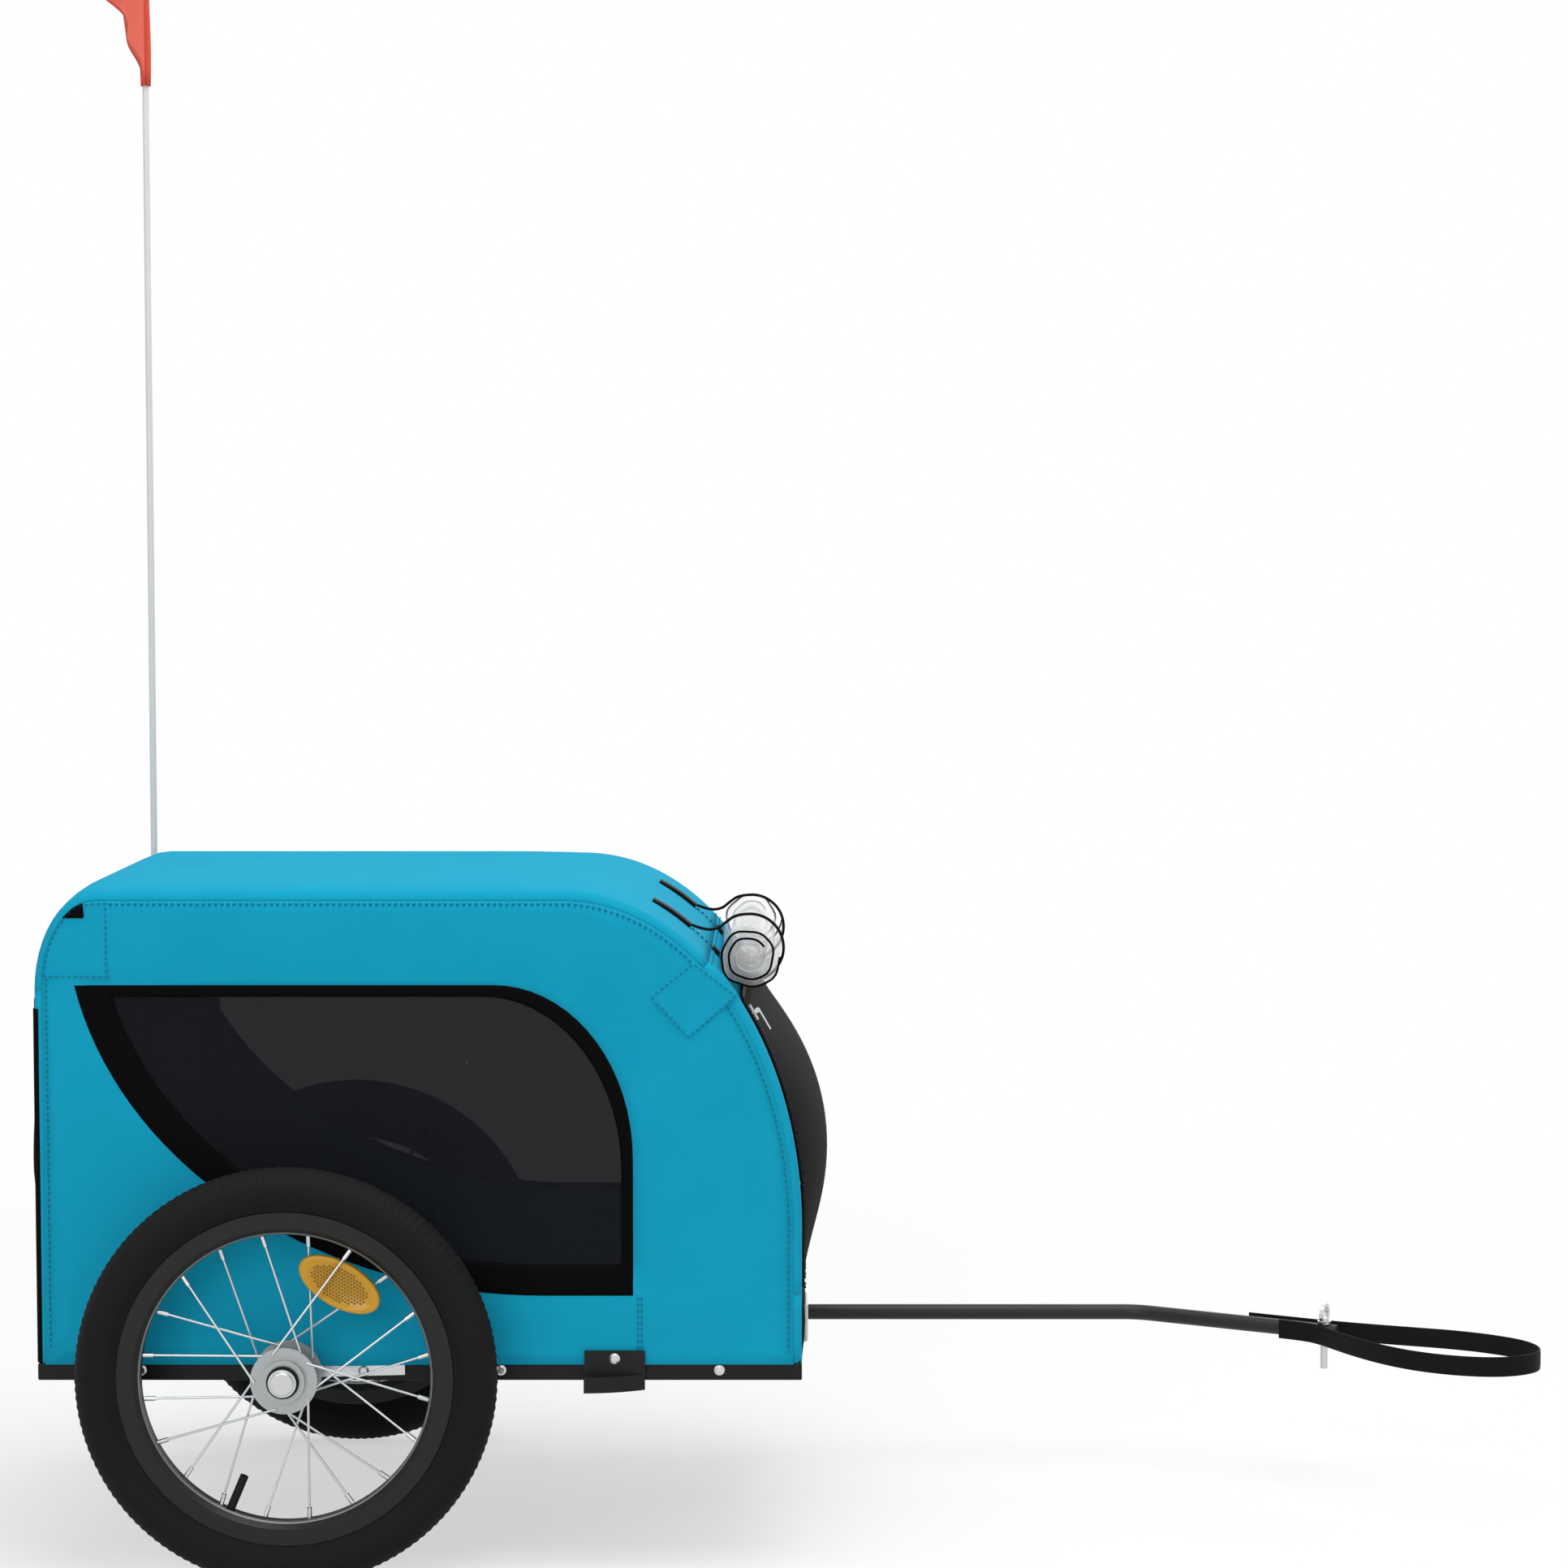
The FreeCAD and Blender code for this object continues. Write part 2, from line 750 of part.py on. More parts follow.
def rear_reflectors():
    """Red reflectors low on the rear wall."""
    return reflector_pair(cabin_rear_x, -1, rear_reflector_width, rear_reflector_height,
                          rear_reflector_depth, rear_reflector_z, rear_reflector_y)


def front_reflectors():
    """White reflectors low on the front wall."""
    return reflector_pair(cabin_front_x, 1, front_reflector_width, front_reflector_height,
                          front_reflector_depth, front_reflector_z, front_reflector_y)


def front_frame_cover():
    """Nose cloth with the door's mouth cut in it."""
    seam = nose_angle_at(roof_front_z)
    inner_x = cabin_front_x - cloth_thickness
    edges = [
        nose_arc(seam, 90),
        line(nose_point(90), point(cabin_front_x, lower_cover_top_z)),
        line(point(cabin_front_x, lower_cover_top_z), point(inner_x, lower_cover_top_z)),
        line(point(inner_x, lower_cover_top_z), nose_point(90, cloth_thickness)),
        nose_arc(seam, 90, cloth_thickness),
        line(nose_point(seam, cloth_thickness), nose_point(seam)),
    ]
    cloth = across(edges, -inner_half_width, inner_half_width)
    mouth_half = door_half_width - door_lap
    mouth = box(nose_x, cabin_front_x + cut_past, -mouth_half, mouth_half,
                door_bottom_z + door_lap, door_top_z - door_lap)
    return cloth.cut(mouth)


def front_lower_cover():
    """Dark cloth below the door."""
    return box(cabin_front_x - cloth_thickness, cabin_front_x, -inner_half_width, inner_half_width,
               rail_top_z, lower_cover_top_z)


def door_ends():
    """The door's bottom and top points on its inner face."""
    bottom = point(cabin_front_x + door_clearance, door_bottom_z)
    top_angle = nose_angle_at(door_top_z)
    top = nose_point(top_angle) + nose_normal(top_angle) * door_clearance
    return bottom, top


def door_section(y, bulge):
    """A curved band of the door at one place across it."""
    bottom, top = door_ends()
    middle = (bottom + top) * 0.5
    middle_angle = nose_angle_at(middle.z)
    outward = nose_normal(middle_angle)
    crest = nose_point(middle_angle) + outward * (door_edge_proud + bulge)
    step = outward * door_thickness
    inner = Part.Arc(bottom, crest, top).toShape()
    outer = Part.Arc(top + step, crest + step, bottom + step).toShape()
    wire = Part.Wire([inner, line(top, top + step), outer, line(bottom + step, bottom)])
    wire.translate(Vector(0, y, 0))
    return wire


def door_hem():
    """Middle of the round hem along the door's bottom edge, which the door turns on."""
    bottom, top = door_ends()
    middle_z = (bottom.z + top.z) / 2
    return bottom + nose_normal(nose_angle_at(middle_z)) * (door_thickness / 2)


def front_door():
    """Mesh door, flat along its zipped sides and bulging in the middle, with a hem at its foot."""
    sections = []
    for share in (-1.0, -0.5, 0.0, 0.5, 1.0):
        bulge = door_bulge * (1 - share * share)
        sections.append(door_section(share * door_half_width, bulge))
    panel = Part.makeLoft(sections, True, False)
    side = Vector(0, door_half_width, 0)
    hem = rod(door_hem() - side, door_hem() + side, door_hem_radius)
    return join([panel, hem])


def slider_seat():
    """Where the zip slider sits: a point on the door's right edge and the outward direction there."""
    bottom, top = door_ends()
    middle = (bottom + top) * 0.5
    middle_angle = nose_angle_at(middle.z)
    outward = nose_normal(middle_angle)
    crest = nose_point(middle_angle) + outward * door_edge_proud
    edge = Part.Arc(bottom, crest, top)
    curve = edge.toShape()
    parameter = curve.getParameterByLength(curve.Length - slider_drop)
    place = curve.valueAt(parameter)
    along = curve.tangentAt(parameter)
    normal = Vector(along.z, 0, -along.x)
    if normal.x < 0:
        normal = normal * -1
    share = slider_drop / curve.Length
    edge_bulge = door_bulge * 2 * slider_inset / door_half_width
    lift = door_thickness + edge_bulge * 4 * share * (1 - share)
    seat = place + normal * (lift + slider_gap) + Vector(0, -door_half_width + slider_inset, 0)
    return seat, along, normal


def block_at(seat, normal, length, width, height):
    """A block whose foot is centred on a seat and whose height runs along the outward direction there."""
    block = Part.makeBox(length, width, height, Vector(-length / 2, -width / 2, 0))
    block.rotate(Vector(0, 0, 0), Vector(0, 1, 0), math.degrees(math.atan2(normal.x, normal.z)))
    block.translate(seat)
    return block


def pull_pivot():
    """Middle of the crossbar that the zip's pull turns on."""
    seat, _, normal = slider_seat()
    return seat + normal * (slider_thickness + slider_pin_height)


def zipper_slider():
    """Slider of the door's zip, with a crossbar for its pull."""
    seat, _, normal = slider_seat()
    body = block_at(seat, normal, slider_length, slider_width, slider_thickness)
    half = Vector(0, slider_width / 2, 0)
    pin_centre = pull_pivot()
    shapes = [body, rod(pin_centre - half, pin_centre + half, slider_pin_radius)]
    for side in (-1, 1):
        foot = seat + Vector(0, side * (slider_width - slider_post) / 2, 0)
        shapes.append(block_at(foot, normal, slider_post * 2, slider_post,
                               slider_thickness + slider_pin_height + slider_pin_radius))
    return join(shapes)


def zipper_pull():
    """Flat pull that hangs from the slider's crossbar."""
    seat, along, normal = slider_seat()
    down = along * -1 if along.z > 0 else along
    pin_centre = pull_pivot()
    eye_radius = slider_pin_radius + running_clearance
    outer = eye_radius + pull_thickness
    width = slider_width - 2 * slider_post - 2 * pull_side_gap
    half = Vector(0, width / 2, 0)
    eye = rod(pin_centre - half, pin_centre + half, outer)
    tongue_seat = pin_centre + normal * eye_radius + down * (pull_length / 2)
    tongue = block_at(tongue_seat, normal, pull_length, width, pull_thickness)
    whole = join([eye, tongue])
    return whole.cut(rod(pin_centre - half * 2, pin_centre + half * 2, eye_radius))


# Rolled rain cover
def roll_centre():
    """Middle of the roll, resting on the nose."""
    return nose_point(roll_nose_angle) + nose_normal(roll_nose_angle) * (roll_radius + seat_gap)


def roll_spiral(offset):
    """Points of the rolled sheet in the side view, a little more than the stated turns."""
    middle = roll_centre()
    pitch = (roll_radius - roll_sheet / 2 - roll_core_radius) / roll_turns
    points = []
    for i in range(roll_turns * roll_steps + 1):
        turn = 2 * math.pi * i / roll_steps
        radius = roll_core_radius + pitch * i / roll_steps + offset
        points.append(middle + Vector(radius * math.cos(turn), 0, radius * math.sin(turn)))
    return points


def rain_cover_roll():
    """Rain cover rolled up above the door."""
    inner = roll_spiral(-roll_sheet / 2)
    outer = roll_spiral(roll_sheet / 2)
    pairs = zip(inner[roll_steps:], outer)
    least = min((upper - lower).Length for upper, lower in pairs)
    print("roll gap between turns", round(least, 2))
    return across(side_polygon(outer + inner[::-1]), -roll_half_width, roll_half_width)


def strap_tab(y):
    """Webbing tab sewn to the roof in front."""
    start = math.degrees(math.asin((tab_rear_x - nose_x) / nose_length))
    end = math.degrees(math.asin((tab_front_x - nose_x) / nose_length))
    edges = [
        nose_arc(start, end),
        line(nose_point(end), nose_point(end, -tab_thickness)),
        nose_arc(start, end, -tab_thickness),
        line(nose_point(start, -tab_thickness), nose_point(start)),
    ]
    return across(edges, y - tab_width / 2, y + tab_width / 2)


def tangent_angle(centre, radius, start, turn):
    """Angle on a circle where a straight run from a point touches it."""
    to_point = start - centre
    spread = math.acos(radius / to_point.Length)
    return math.atan2(to_point.z, to_point.x) + turn * spread


def strap_cord(y):
    """Elastic cord from the tab over the roll to its anchor below."""
    end = math.degrees(math.asin((tab_front_x - nose_x) / nose_length))
    start = nose_point(end) + nose_normal(end) * (tab_thickness / 2)
    anchor = nose_point(cord_anchor_angle) + nose_normal(cord_anchor_angle) * cord_radius
    centre = roll_centre()
    radius = roll_radius + seat_gap + cord_radius
    first = tangent_angle(centre, radius, start, -1)
    last = tangent_angle(centre, radius, anchor, 1)
    if last > first:
        last -= 2 * math.pi

    def on_roll(angle):
        return centre + Vector(radius * math.cos(angle), 0, radius * math.sin(angle))

    path = [
        line(start, on_roll(first)),
        Part.Arc(on_roll(first), on_roll((first + last) / 2), on_roll(last)).toShape(),
        line(on_roll(last), anchor),
    ]
    along = on_roll(first) - start
    section = Part.Wire([Part.Circle(start, along, cord_radius).toShape()])
    cord = Part.Wire(path).makePipeShell([section], True, False)
    length = sum(edge.Length for edge in path)
    share = cord.Volume / (math.pi * cord_radius ** 2 * length)
    print("cord length", round(length), "radius", radius, "volume share", round(share, 4))
    cloth = Part.makeCompound([strap_tab(0), across([
        nose_arc(0, 90),
        line(nose_point(90), point(nose_x, nose_z)),
        line(point(nose_x, nose_z), nose_point(0)),
    ], -tab_width, tab_width)])
    cord = cord.cut(cloth)
    cord.translate(Vector(0, y, 0))
    return cord


def roll_straps():
    """Tabs and cords that hold the roll."""
    pieces = []
    for y in (-strap_side_y, strap_side_y):
        pieces.append(strap_tab(y))
        pieces.extend(strap_cord(y).Solids)
    return Part.makeCompound(pieces)


# Wheels, all made for the right side
def wheel_point(radius, angle, y):
    """A point of the right wheel; the angle turns from +X to +Z and y counts outwards from its middle."""
    turn = math.radians(angle)
    return Vector(axle_x + radius * math.cos(turn), -wheel_y - y, axle_z + radius * math.sin(turn))


def turned(section):
    """A solid from points (radius, outward y) turned about the right axle."""
    points = [Vector(axle_x + radius, -wheel_y - y, axle_z) for radius, y in section]
    face = Part.Face(Part.makePolygon(points + points[:1]))
    return face.revolve(Vector(axle_x, -wheel_y, axle_z), Vector(0, 1, 0), 360)


def wheel_torus(minor):
    """A round ring about the right axle."""
    major = tyre_radius - tyre_half_width
    return Part.makeTorus(major, minor, Vector(axle_x, -wheel_y, axle_z), Vector(0, 1, 0))


def wheel_disc(radius):
    """A disc wider than the tyre about the right axle."""
    return rod(wheel_point(0, 0, tyre_half_width * 2), wheel_point(0, 0, -tyre_half_width * 2), radius)


def tyre():
    """Hollow tyre with two beads in the rim."""
    crown = wheel_torus(tyre_half_width).cut(wheel_disc(bead_radius + fit_gap))
    bead_outer = rim_half_width - rim_wall - fit_gap
    bead_inner = bead_outer - bead_thickness
    low = bead_radius - rim_well_depth + fit_gap
    high = bead_radius + bead_thickness
    beads = []
    for side in (-1, 1):
        beads.append(turned([(low, side * bead_inner), (low, side * bead_outer),
                             (high, side * bead_outer), (high, side * bead_inner)]))
    whole = join([crown] + beads)
    return whole.cut(wheel_torus(tyre_half_width - tyre_wall))


def rim():
    """Rim with a well, two flanges and a hole for the valve."""
    well = bead_radius - rim_well_depth
    outer = rim_half_width
    inner = rim_half_width - rim_wall
    ring_shape = turned([
        (rim_inner_radius, -outer / 2), (rim_inner_radius, outer / 2),
        (rim_inner_radius + rim_floor / 2, outer), (bead_radius, outer),
        (bead_radius, inner), (well, inner), (rim_inner_radius + rim_floor, inner / 2),
        (rim_inner_radius + rim_floor, -inner / 2), (well, -inner), (bead_radius, -inner),
        (bead_radius, -outer), (rim_inner_radius + rim_floor / 2, -outer),
    ])
    inside = wheel_point(rim_inner_radius - cut_past, valve_angle, 0)
    hole = rod(inside, wheel_point(tyre_radius, valve_angle, 0), valve_radius + fit_gap)
    return ring_shape.cut(hole)


def inner_tube():
    """Air tube in the tyre with its valve stem through the rim."""
    outer = tyre_half_width - tyre_wall - fit_gap
    major = tyre_radius - tyre_half_width
    stem = rod(wheel_point(rim_inner_radius - valve_length, valve_angle, 0),
               wheel_point(major - outer + tube_wall, valve_angle, 0), valve_radius)
    skin = join([wheel_torus(outer), stem])
    return skin.cut(wheel_torus(outer - tube_wall))


def spokes():
    """Crossed spokes, each with a nipple at the rim."""
    pieces = []
    rim_end = rim_inner_radius - fit_gap
    for i in range(spoke_count):
        side = 1 if i % 2 else -1
        lean = spoke_lean if (i // 2) % 2 else -spoke_lean
        face = 1 if lean > 0 else -1
        hub_y = side * (flange_half_spread + face * (flange_thickness / 2 + spoke_radius + running_clearance))
        angle = 360 * (i + 0.5) / spoke_count
        start = wheel_point(spoke_hole_radius, angle + lean, hub_y)
        end = wheel_point(rim_end, angle, side * spoke_rim_spread)
        back = (start - end).normalize()
        seat = end + back * (nipple_radius / 2)
        nipple = rod(seat, seat + back * nipple_length, nipple_radius)
        pieces.append(join([rod(start, seat, spoke_radius), nipple]))
    return Part.makeCompound(pieces)


def hub():
    """Hub shell with two spoke flanges and a seat for a bearing at each end."""
    spread = flange_half_spread
    half = flange_thickness / 2
    seat = hub_half_length - bearing_width
    bore = axle_radius + hub_bore_gap
    section = [(bore, -seat), (bearing_radius, -seat), (bearing_radius, -hub_half_length),
               (hub_step_radius, -hub_half_length), (hub_step_radius, -spread - half),
               (flange_radius, -spread - half), (flange_radius, -spread + half),
               (hub_barrel_radius, -spread + half), (hub_barrel_radius, spread - half),
               (flange_radius, spread - half), (flange_radius, spread + half),
               (hub_step_radius, spread + half), (hub_step_radius, hub_half_length),
               (bearing_radius, hub_half_length), (bearing_radius, seat), (bore, seat)]
    return turned(section)


def bearings():
    """Two bearings between hub and axle."""
    rings = []
    for side in (-1, 1):
        inner_y = side * (hub_half_length - bearing_width)
        rings.append(ring(bearing_radius, axle_radius + running_clearance,
                          wheel_point(0, 0, inner_y), wheel_point(0, 0, side * hub_half_length)))
    return Part.makeCompound(rings)


def dust_ring():
    """Rubber ring on the hub's outer face, round the button."""
    start = hub_half_length
    return ring(dust_ring_radius, axle_head_radius + seat_gap, wheel_point(0, 0, start),
                wheel_point(0, 0, start + dust_ring_width))


def axle():
    """Pull-out axle with a head outside the hub, a shoulder on the socket and the button's spring inside."""
    head_start = hub_half_length + running_clearance
    head_end = head_start + axle_head_length
    shoulder = wheel_y - socket_outer_y
    shaft_end = wheel_point(0, 0, rail_inner_y + cut_past - wheel_y)
    shaft = rod(wheel_point(0, 0, head_start), shaft_end, axle_radius)
    head = rod(wheel_point(0, 0, head_start), wheel_point(0, 0, head_end), axle_head_radius)
    collar = rod(wheel_point(0, 0, -hub_half_length - running_clearance), wheel_point(0, 0, -shoulder),
                 axle_shoulder_radius)
    body = join([shaft, head, collar])
    well = rod(wheel_point(0, 0, head_end + cut_past), wheel_point(0, 0, head_end - button_well_depth),
               button_stem_radius + running_clearance)
    pocket = rod(wheel_point(0, 0, head_end + cut_past), wheel_point(0, 0, head_end - button_stroke),
                 button_radius + running_clearance)
    body = body.cut(well).cut(pocket)
    spring_end = head_end - button_stroke - button_stem_length
    spring = ring(button_stem_radius - running_clearance, button_stem_radius - spring_wire,
                  wheel_point(0, 0, head_end - button_well_depth), wheel_point(0, 0, spring_end))
    return Part.makeCompound([body, spring])


def push_button():
    """Round button in the axle's head."""
    head_end = hub_half_length + running_clearance + axle_head_length
    cap = rod(wheel_point(0, 0, head_end), wheel_point(0, 0, head_end + button_cap), button_radius)
    edge = [e for e in cap.Edges if e.BoundBox.YMax < -wheel_y - head_end - button_cap + 0.01]
    cap = cap.makeFillet(button_cap / 3, edge)
    stem_end = wheel_point(0, 0, head_end - button_stem_length)
    stem = rod(wheel_point(0, 0, head_end), stem_end, button_stem_radius)
    return join([cap, stem])


def spoke_reflector():
    """Oval reflector between the spokes."""
    plate = Part.makeCylinder(1.0, reflector_thickness, Vector(0, 0, -reflector_thickness / 2))
    stretch = FreeCAD.Matrix()
    stretch.scale(reflector_length / 2, reflector_height / 2, 1)
    plate = plate.transformGeometry(stretch)
    plate.rotate(Vector(0, 0, 0), Vector(1, 0, 0), 90)
    plate.rotate(Vector(0, 0, 0), Vector(0, 1, 0), 90 - reflector_angle)
    plate.translate(wheel_point(reflector_centre_radius, reflector_angle, 0))
    return plate


# Tow bar
def tow_bracket():
    """Plate under the left rail and front cross member, with the stud that the bar turns on."""
    x0 = tow_pivot_x - tow_plate_length / 2
    y0 = tow_bar_y - tow_sleeve_radius * 2
    plate = box(x0, x0 + tow_plate_length, y0, half_width, tow_plate_z, rail_bottom_z)
    top = Vector(tow_pivot_x, tow_bar_y, tow_plate_z + tow_plate_thickness / 2)
    bottom = Vector(tow_pivot_x, tow_bar_y, tow_bar_z - tow_sleeve_height() / 2 - knob_height)
    return join([plate, rod(top, bottom, tow_stud_radius)])


def tow_sleeve_height():
    """Height of the bar's pivot sleeve, from just below the plate to the same depth under the bar."""
    return 2 * (tow_plate_z - seat_gap - tow_bar_z)


def tow_bar():
    """Bent tube with a pivot sleeve and a hole for the hitch pin."""
    turn = math.radians(tow_bend_angle)
    setback = tow_bend_radius * math.tan(turn / 2)
    tail = Vector(tow_pivot_x - tow_tail_length, tow_bar_y, tow_bar_z)
    arc_start = tow_bend_point - Vector(setback, 0, 0)
    arc_end = tow_bend_point + tow_bend_direction * setback
    arc_centre = arc_start - Vector(0, tow_bend_radius, 0)
    half_turn = turn / 2
    arc_middle = arc_centre + Vector(math.sin(half_turn), math.cos(half_turn), 0) * tow_bend_radius
    path = [
        line(tail, arc_start),
        Part.Arc(arc_start, arc_middle, arc_end).toShape(),
        line(arc_end, tow_end_point),
    ]
    section = Part.Wire([Part.Circle(tail, Vector(1, 0, 0), tow_bar_radius).toShape()])
    tube = Part.Wire(path).makePipeShell([section], True, False)
    half = Vector(0, 0, tow_sleeve_height() / 2)
    pivot = Vector(tow_pivot_x, tow_bar_y, tow_bar_z)
    whole = join([tube, rod(pivot - half, pivot + half, tow_sleeve_radius)])
    whole = whole.cut(rod(pivot - half * 2, pivot + half * 2, tow_stud_radius + running_clearance))
    reach = Vector(0, 0, tow_bar_radius * 2)
    return whole.cut(rod(hitch_point - reach, hitch_point + reach, hitch_pin_radius + running_clearance))


def lock_knob():
    """Lobed knob under the pivot that clamps the bar."""
    top = tow_bar_z - tow_sleeve_height() / 2 - seat_gap
    centre = Vector(tow_pivot_x, tow_bar_y, top)
    low = centre - Vector(0, 0, knob_height)
    shapes = [rod(low, centre, knob_radius - knob_lobe_radius / 2)]
    for i in range(knob_lobes):
        turn = 2 * math.pi * i / knob_lobes
        shift = Vector(math.cos(turn), math.sin(turn), 0) * (knob_radius - knob_lobe_radius / 2)
        shapes.append(rod(low + shift, centre + shift, knob_lobe_radius))
    reach = Vector(0, 0, cut_past)
    return join(shapes).cut(rod(low - reach, centre + reach, tow_stud_radius + running_clearance))


def hitch_pin():
    """Pin with a collar and an eye, standing in the bar's end."""
    foot = hitch_point - Vector(0, 0, tow_bar_radius + hitch_pin_drop)
    seat = hitch_point + Vector(0, 0, tow_bar_radius + seat_gap)
    collar_top = seat + Vector(0, 0, hitch_collar_height)
    eye_centre = collar_top + Vector(0, 0, hitch_eye_radius)
    half = tow_bend_direction * (hitch_eye_wire / 2)
    eye = ring(hitch_eye_radius + hitch_eye_wire, hitch_eye_radius, eye_centre - half, eye_centre + half)
    neck = hitch_point - Vector(0, 0, tow_bar_radius)
    stem = join([rod(neck, collar_top, hitch_pin_radius), rod(foot, neck, hitch_tip_radius)])
    return join([stem, rod(seat, collar_top, hitch_collar_radius), eye])


def strap_point(along, aside):
    """A point of the safety strap, counted along the bar's end and to its left."""
    left = Vector(-tow_bend_direction.y, tow_bend_direction.x, 0)
    return tow_end_point + tow_bend_direction * along + left * aside


def strap_route():
    """Middle line of the safety strap: both ends on the bar and a loop in front.

    Each pair is a share of the strap's reach and a share of its swell to that side.
    """
    side = tow_bar_radius + safety_strap_thickness / 2 + seat_gap
    left_run = ((-0.45, 0), (-0.27, 0), (-0.09, 0), (0.11, 0.2), (0.32, 0.6), (0.52, 1), (0.7, 0.93),
                (0.88, 0.2))
    right_run = ((0.98, 0.13), (1, 0.4), (0.95, 0.68), (0.85, 0.89), (0.69, 1), (0.52, 0.99), (0.37, 0.88),
                 (0.22, 0.69), (0.08, 0.46), (-0.04, 0.23))
    route = [strap_point(strap_reach * along, side + strap_left_swell * swell) for along, swell in left_run]
    route += [strap_point(strap_reach * along, -strap_right_swell * swell) for along, swell in right_run]
    route += [strap_point(strap_reach * along, -side) for along in (-0.14, -0.27)]
    return route


def safety_strap():
    """Flat webbing on edge."""
    route = strap_route()
    left_side = []
    right_side = []
    for i, place in enumerate(route):
        before = route[max(i - 1, 0)]
        after = route[min(i + 1, len(route) - 1)]
        way = (after - before).normalize()
        step = Vector(-way.y, way.x, 0) * (safety_strap_thickness / 2)
        left_side.append(place + step)
        right_side.append(place - step)
    points = left_side + right_side[::-1]
    face = Part.Face(Part.makePolygon(points + points[:1]))
    strap = face.extrude(Vector(0, 0, safety_strap_width))
    strap.translate(Vector(0, 0, -safety_strap_width / 2))
    return strap


# Flag
def flag_socket():
    """Tube on the left rail that the pole stands in."""
    low = Vector(flag_pole_x, flag_pole_y, flag_seat_z - flag_socket_floor)
    high = low + Vector(0, 0, flag_socket_height)
    body = rod(low, high, flag_socket_radius)
    lug_x = flag_pole_x - flag_socket_radius
    rail_side = box(lug_x, lug_x + 2 * flag_socket_radius, half_width, flag_pole_y,
                    flag_seat_z - flag_socket_floor, rail_top_z)
    bore = rod(Vector(flag_pole_x, flag_pole_y, flag_seat_z), high + Vector(0, 0, cut_past),
               flag_pole_radius + running_clearance)
    return join([body, rail_side]).cut(bore)


def flag_pole():
    """Thin pole."""
    foot = Vector(flag_pole_x, flag_pole_y, flag_seat_z)
    tip = Vector(flag_pole_x, flag_pole_y, flag_pole_top_z)
    return rod(foot, tip, flag_pole_radius)


def flag():
    """Pennant with a sleeve on the pole and soft ripples towards its tip."""
    top_z = flag_pole_top_z - flag_top_gap
    low_z = top_z - flag_height
    near = []
    far = []
    for i in range(flag_steps + 1):
        share = i / flag_steps
        y = flag_pole_y - flag_sleeve_radius / 2 - flag_fly * share
        x = flag_pole_x + flag_ripple * share * math.sin(2 * math.pi * flag_ripple_count * share)
        near.append(Vector(x - flag_thickness / 2, y, low_z))
        far.append(Vector(x + flag_thickness / 2, y, low_z))
    points = near + far[::-1]
    cloth = Part.Face(Part.makePolygon(points + points[:1])).extrude(Vector(0, 0, flag_height))
    tip_y = flag_pole_y - flag_sleeve_radius / 2 - flag_fly
    tip_half = flag_tip_height / 2
    middle_z = (top_z + low_z) / 2
    shape = [Vector(flag_pole_x, flag_pole_y, low_z), Vector(flag_pole_x, flag_pole_y, top_z),
             Vector(flag_pole_x, tip_y, middle_z + tip_half), Vector(flag_pole_x, tip_y, middle_z - tip_half)]
    mask = Part.Face(Part.makePolygon(shape + shape[:1])).extrude(Vector(flag_ripple * 4, 0, 0))
    mask.translate(Vector(-flag_ripple * 2, 0, 0))
    low = Vector(flag_pole_x, flag_pole_y, low_z)
    high = Vector(flag_pole_x, flag_pole_y, top_z)
    sleeve = rod(low, high, flag_sleeve_radius)
    whole = join([cloth.common(mask), sleeve])
    past = Vector(0, 0, cut_past)
    hole = rod(low - past, high + past, flag_pole_radius + running_clearance)
    return whole.cut(hole)


def main():
    """Make and write every piece."""
    os.makedirs("parts", exist_ok=True)
    save_pair("side_rail", side_rail())
    save("cross_members", cross_members())
    save("floor_panel", floor_panel())
    save("floor_pad", floor_pad())
    save_pair("axle_socket", axle_socket())
    save("rail_screws", rail_screws())
    save("cover_hooks", cover_hooks())
    save("hoop_brackets", hoop_brackets())
    save("rear_hoop", rear_hoop())
    save("front_hoop", front_hoop())
    save("roof_cover", roof_cover())
    save_pair("side_cover", side_cover())
    save_pair("window_mesh", window_mesh())
    save_pair("window_trim", window_trim())
    save("corner_patches", corner_patches())
    save("rear_cover", rear_cover())
    save("rear_pocket", rear_pocket())
    save("rear_reflectors", rear_reflectors())
    save("front_frame_cover", front_frame_cover())
    save("front_lower_cover", front_lower_cover())
    save("front_reflectors", front_reflectors())
    save("front_door", front_door())
    save("zipper_slider", zipper_slider())
    save("zipper_pull", zipper_pull())
    save("rain_cover_roll", rain_cover_roll())
    save("roll_straps", roll_straps())
    save_pair("tyre", tyre())
    save_pair("inner_tube", inner_tube())
    save_pair("rim", rim())
    save_pair("spokes", spokes())
    save_pair("hub", hub())
    save_pair("bearings", bearings())
    save_pair("dust_ring", dust_ring())
    save_pair("axle", axle())
    save_pair("push_button", push_button())
    save_pair("spoke_reflector", spoke_reflector())
    save("tow_bracket", tow_bracket())
    save("tow_bar", tow_bar())
    save("lock_knob", lock_knob())
    save("hitch_pin", hitch_pin())
    save("safety_strap", safety_strap())
    save("flag_socket", flag_socket())
    save("flag_pole", flag_pole())
    save("flag", flag())
    print("zip pull pivot", pull_pivot())
    print("door hem", door_hem())


main()
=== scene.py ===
# %% [markdown]
# # A dog trailer for a bicycle
# The metal frame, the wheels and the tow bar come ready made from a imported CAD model. This lesson dresses
# that model: cloth, mesh, film, webbing, rubber and paint, then light and a camera. Everything is in metres,
# +X points forward along the tow bar, +Y is the trailer's left side and +Z is up.

# %% Load the frame
import bpy
import bmesh
import math
from mathutils import Matrix, Vector


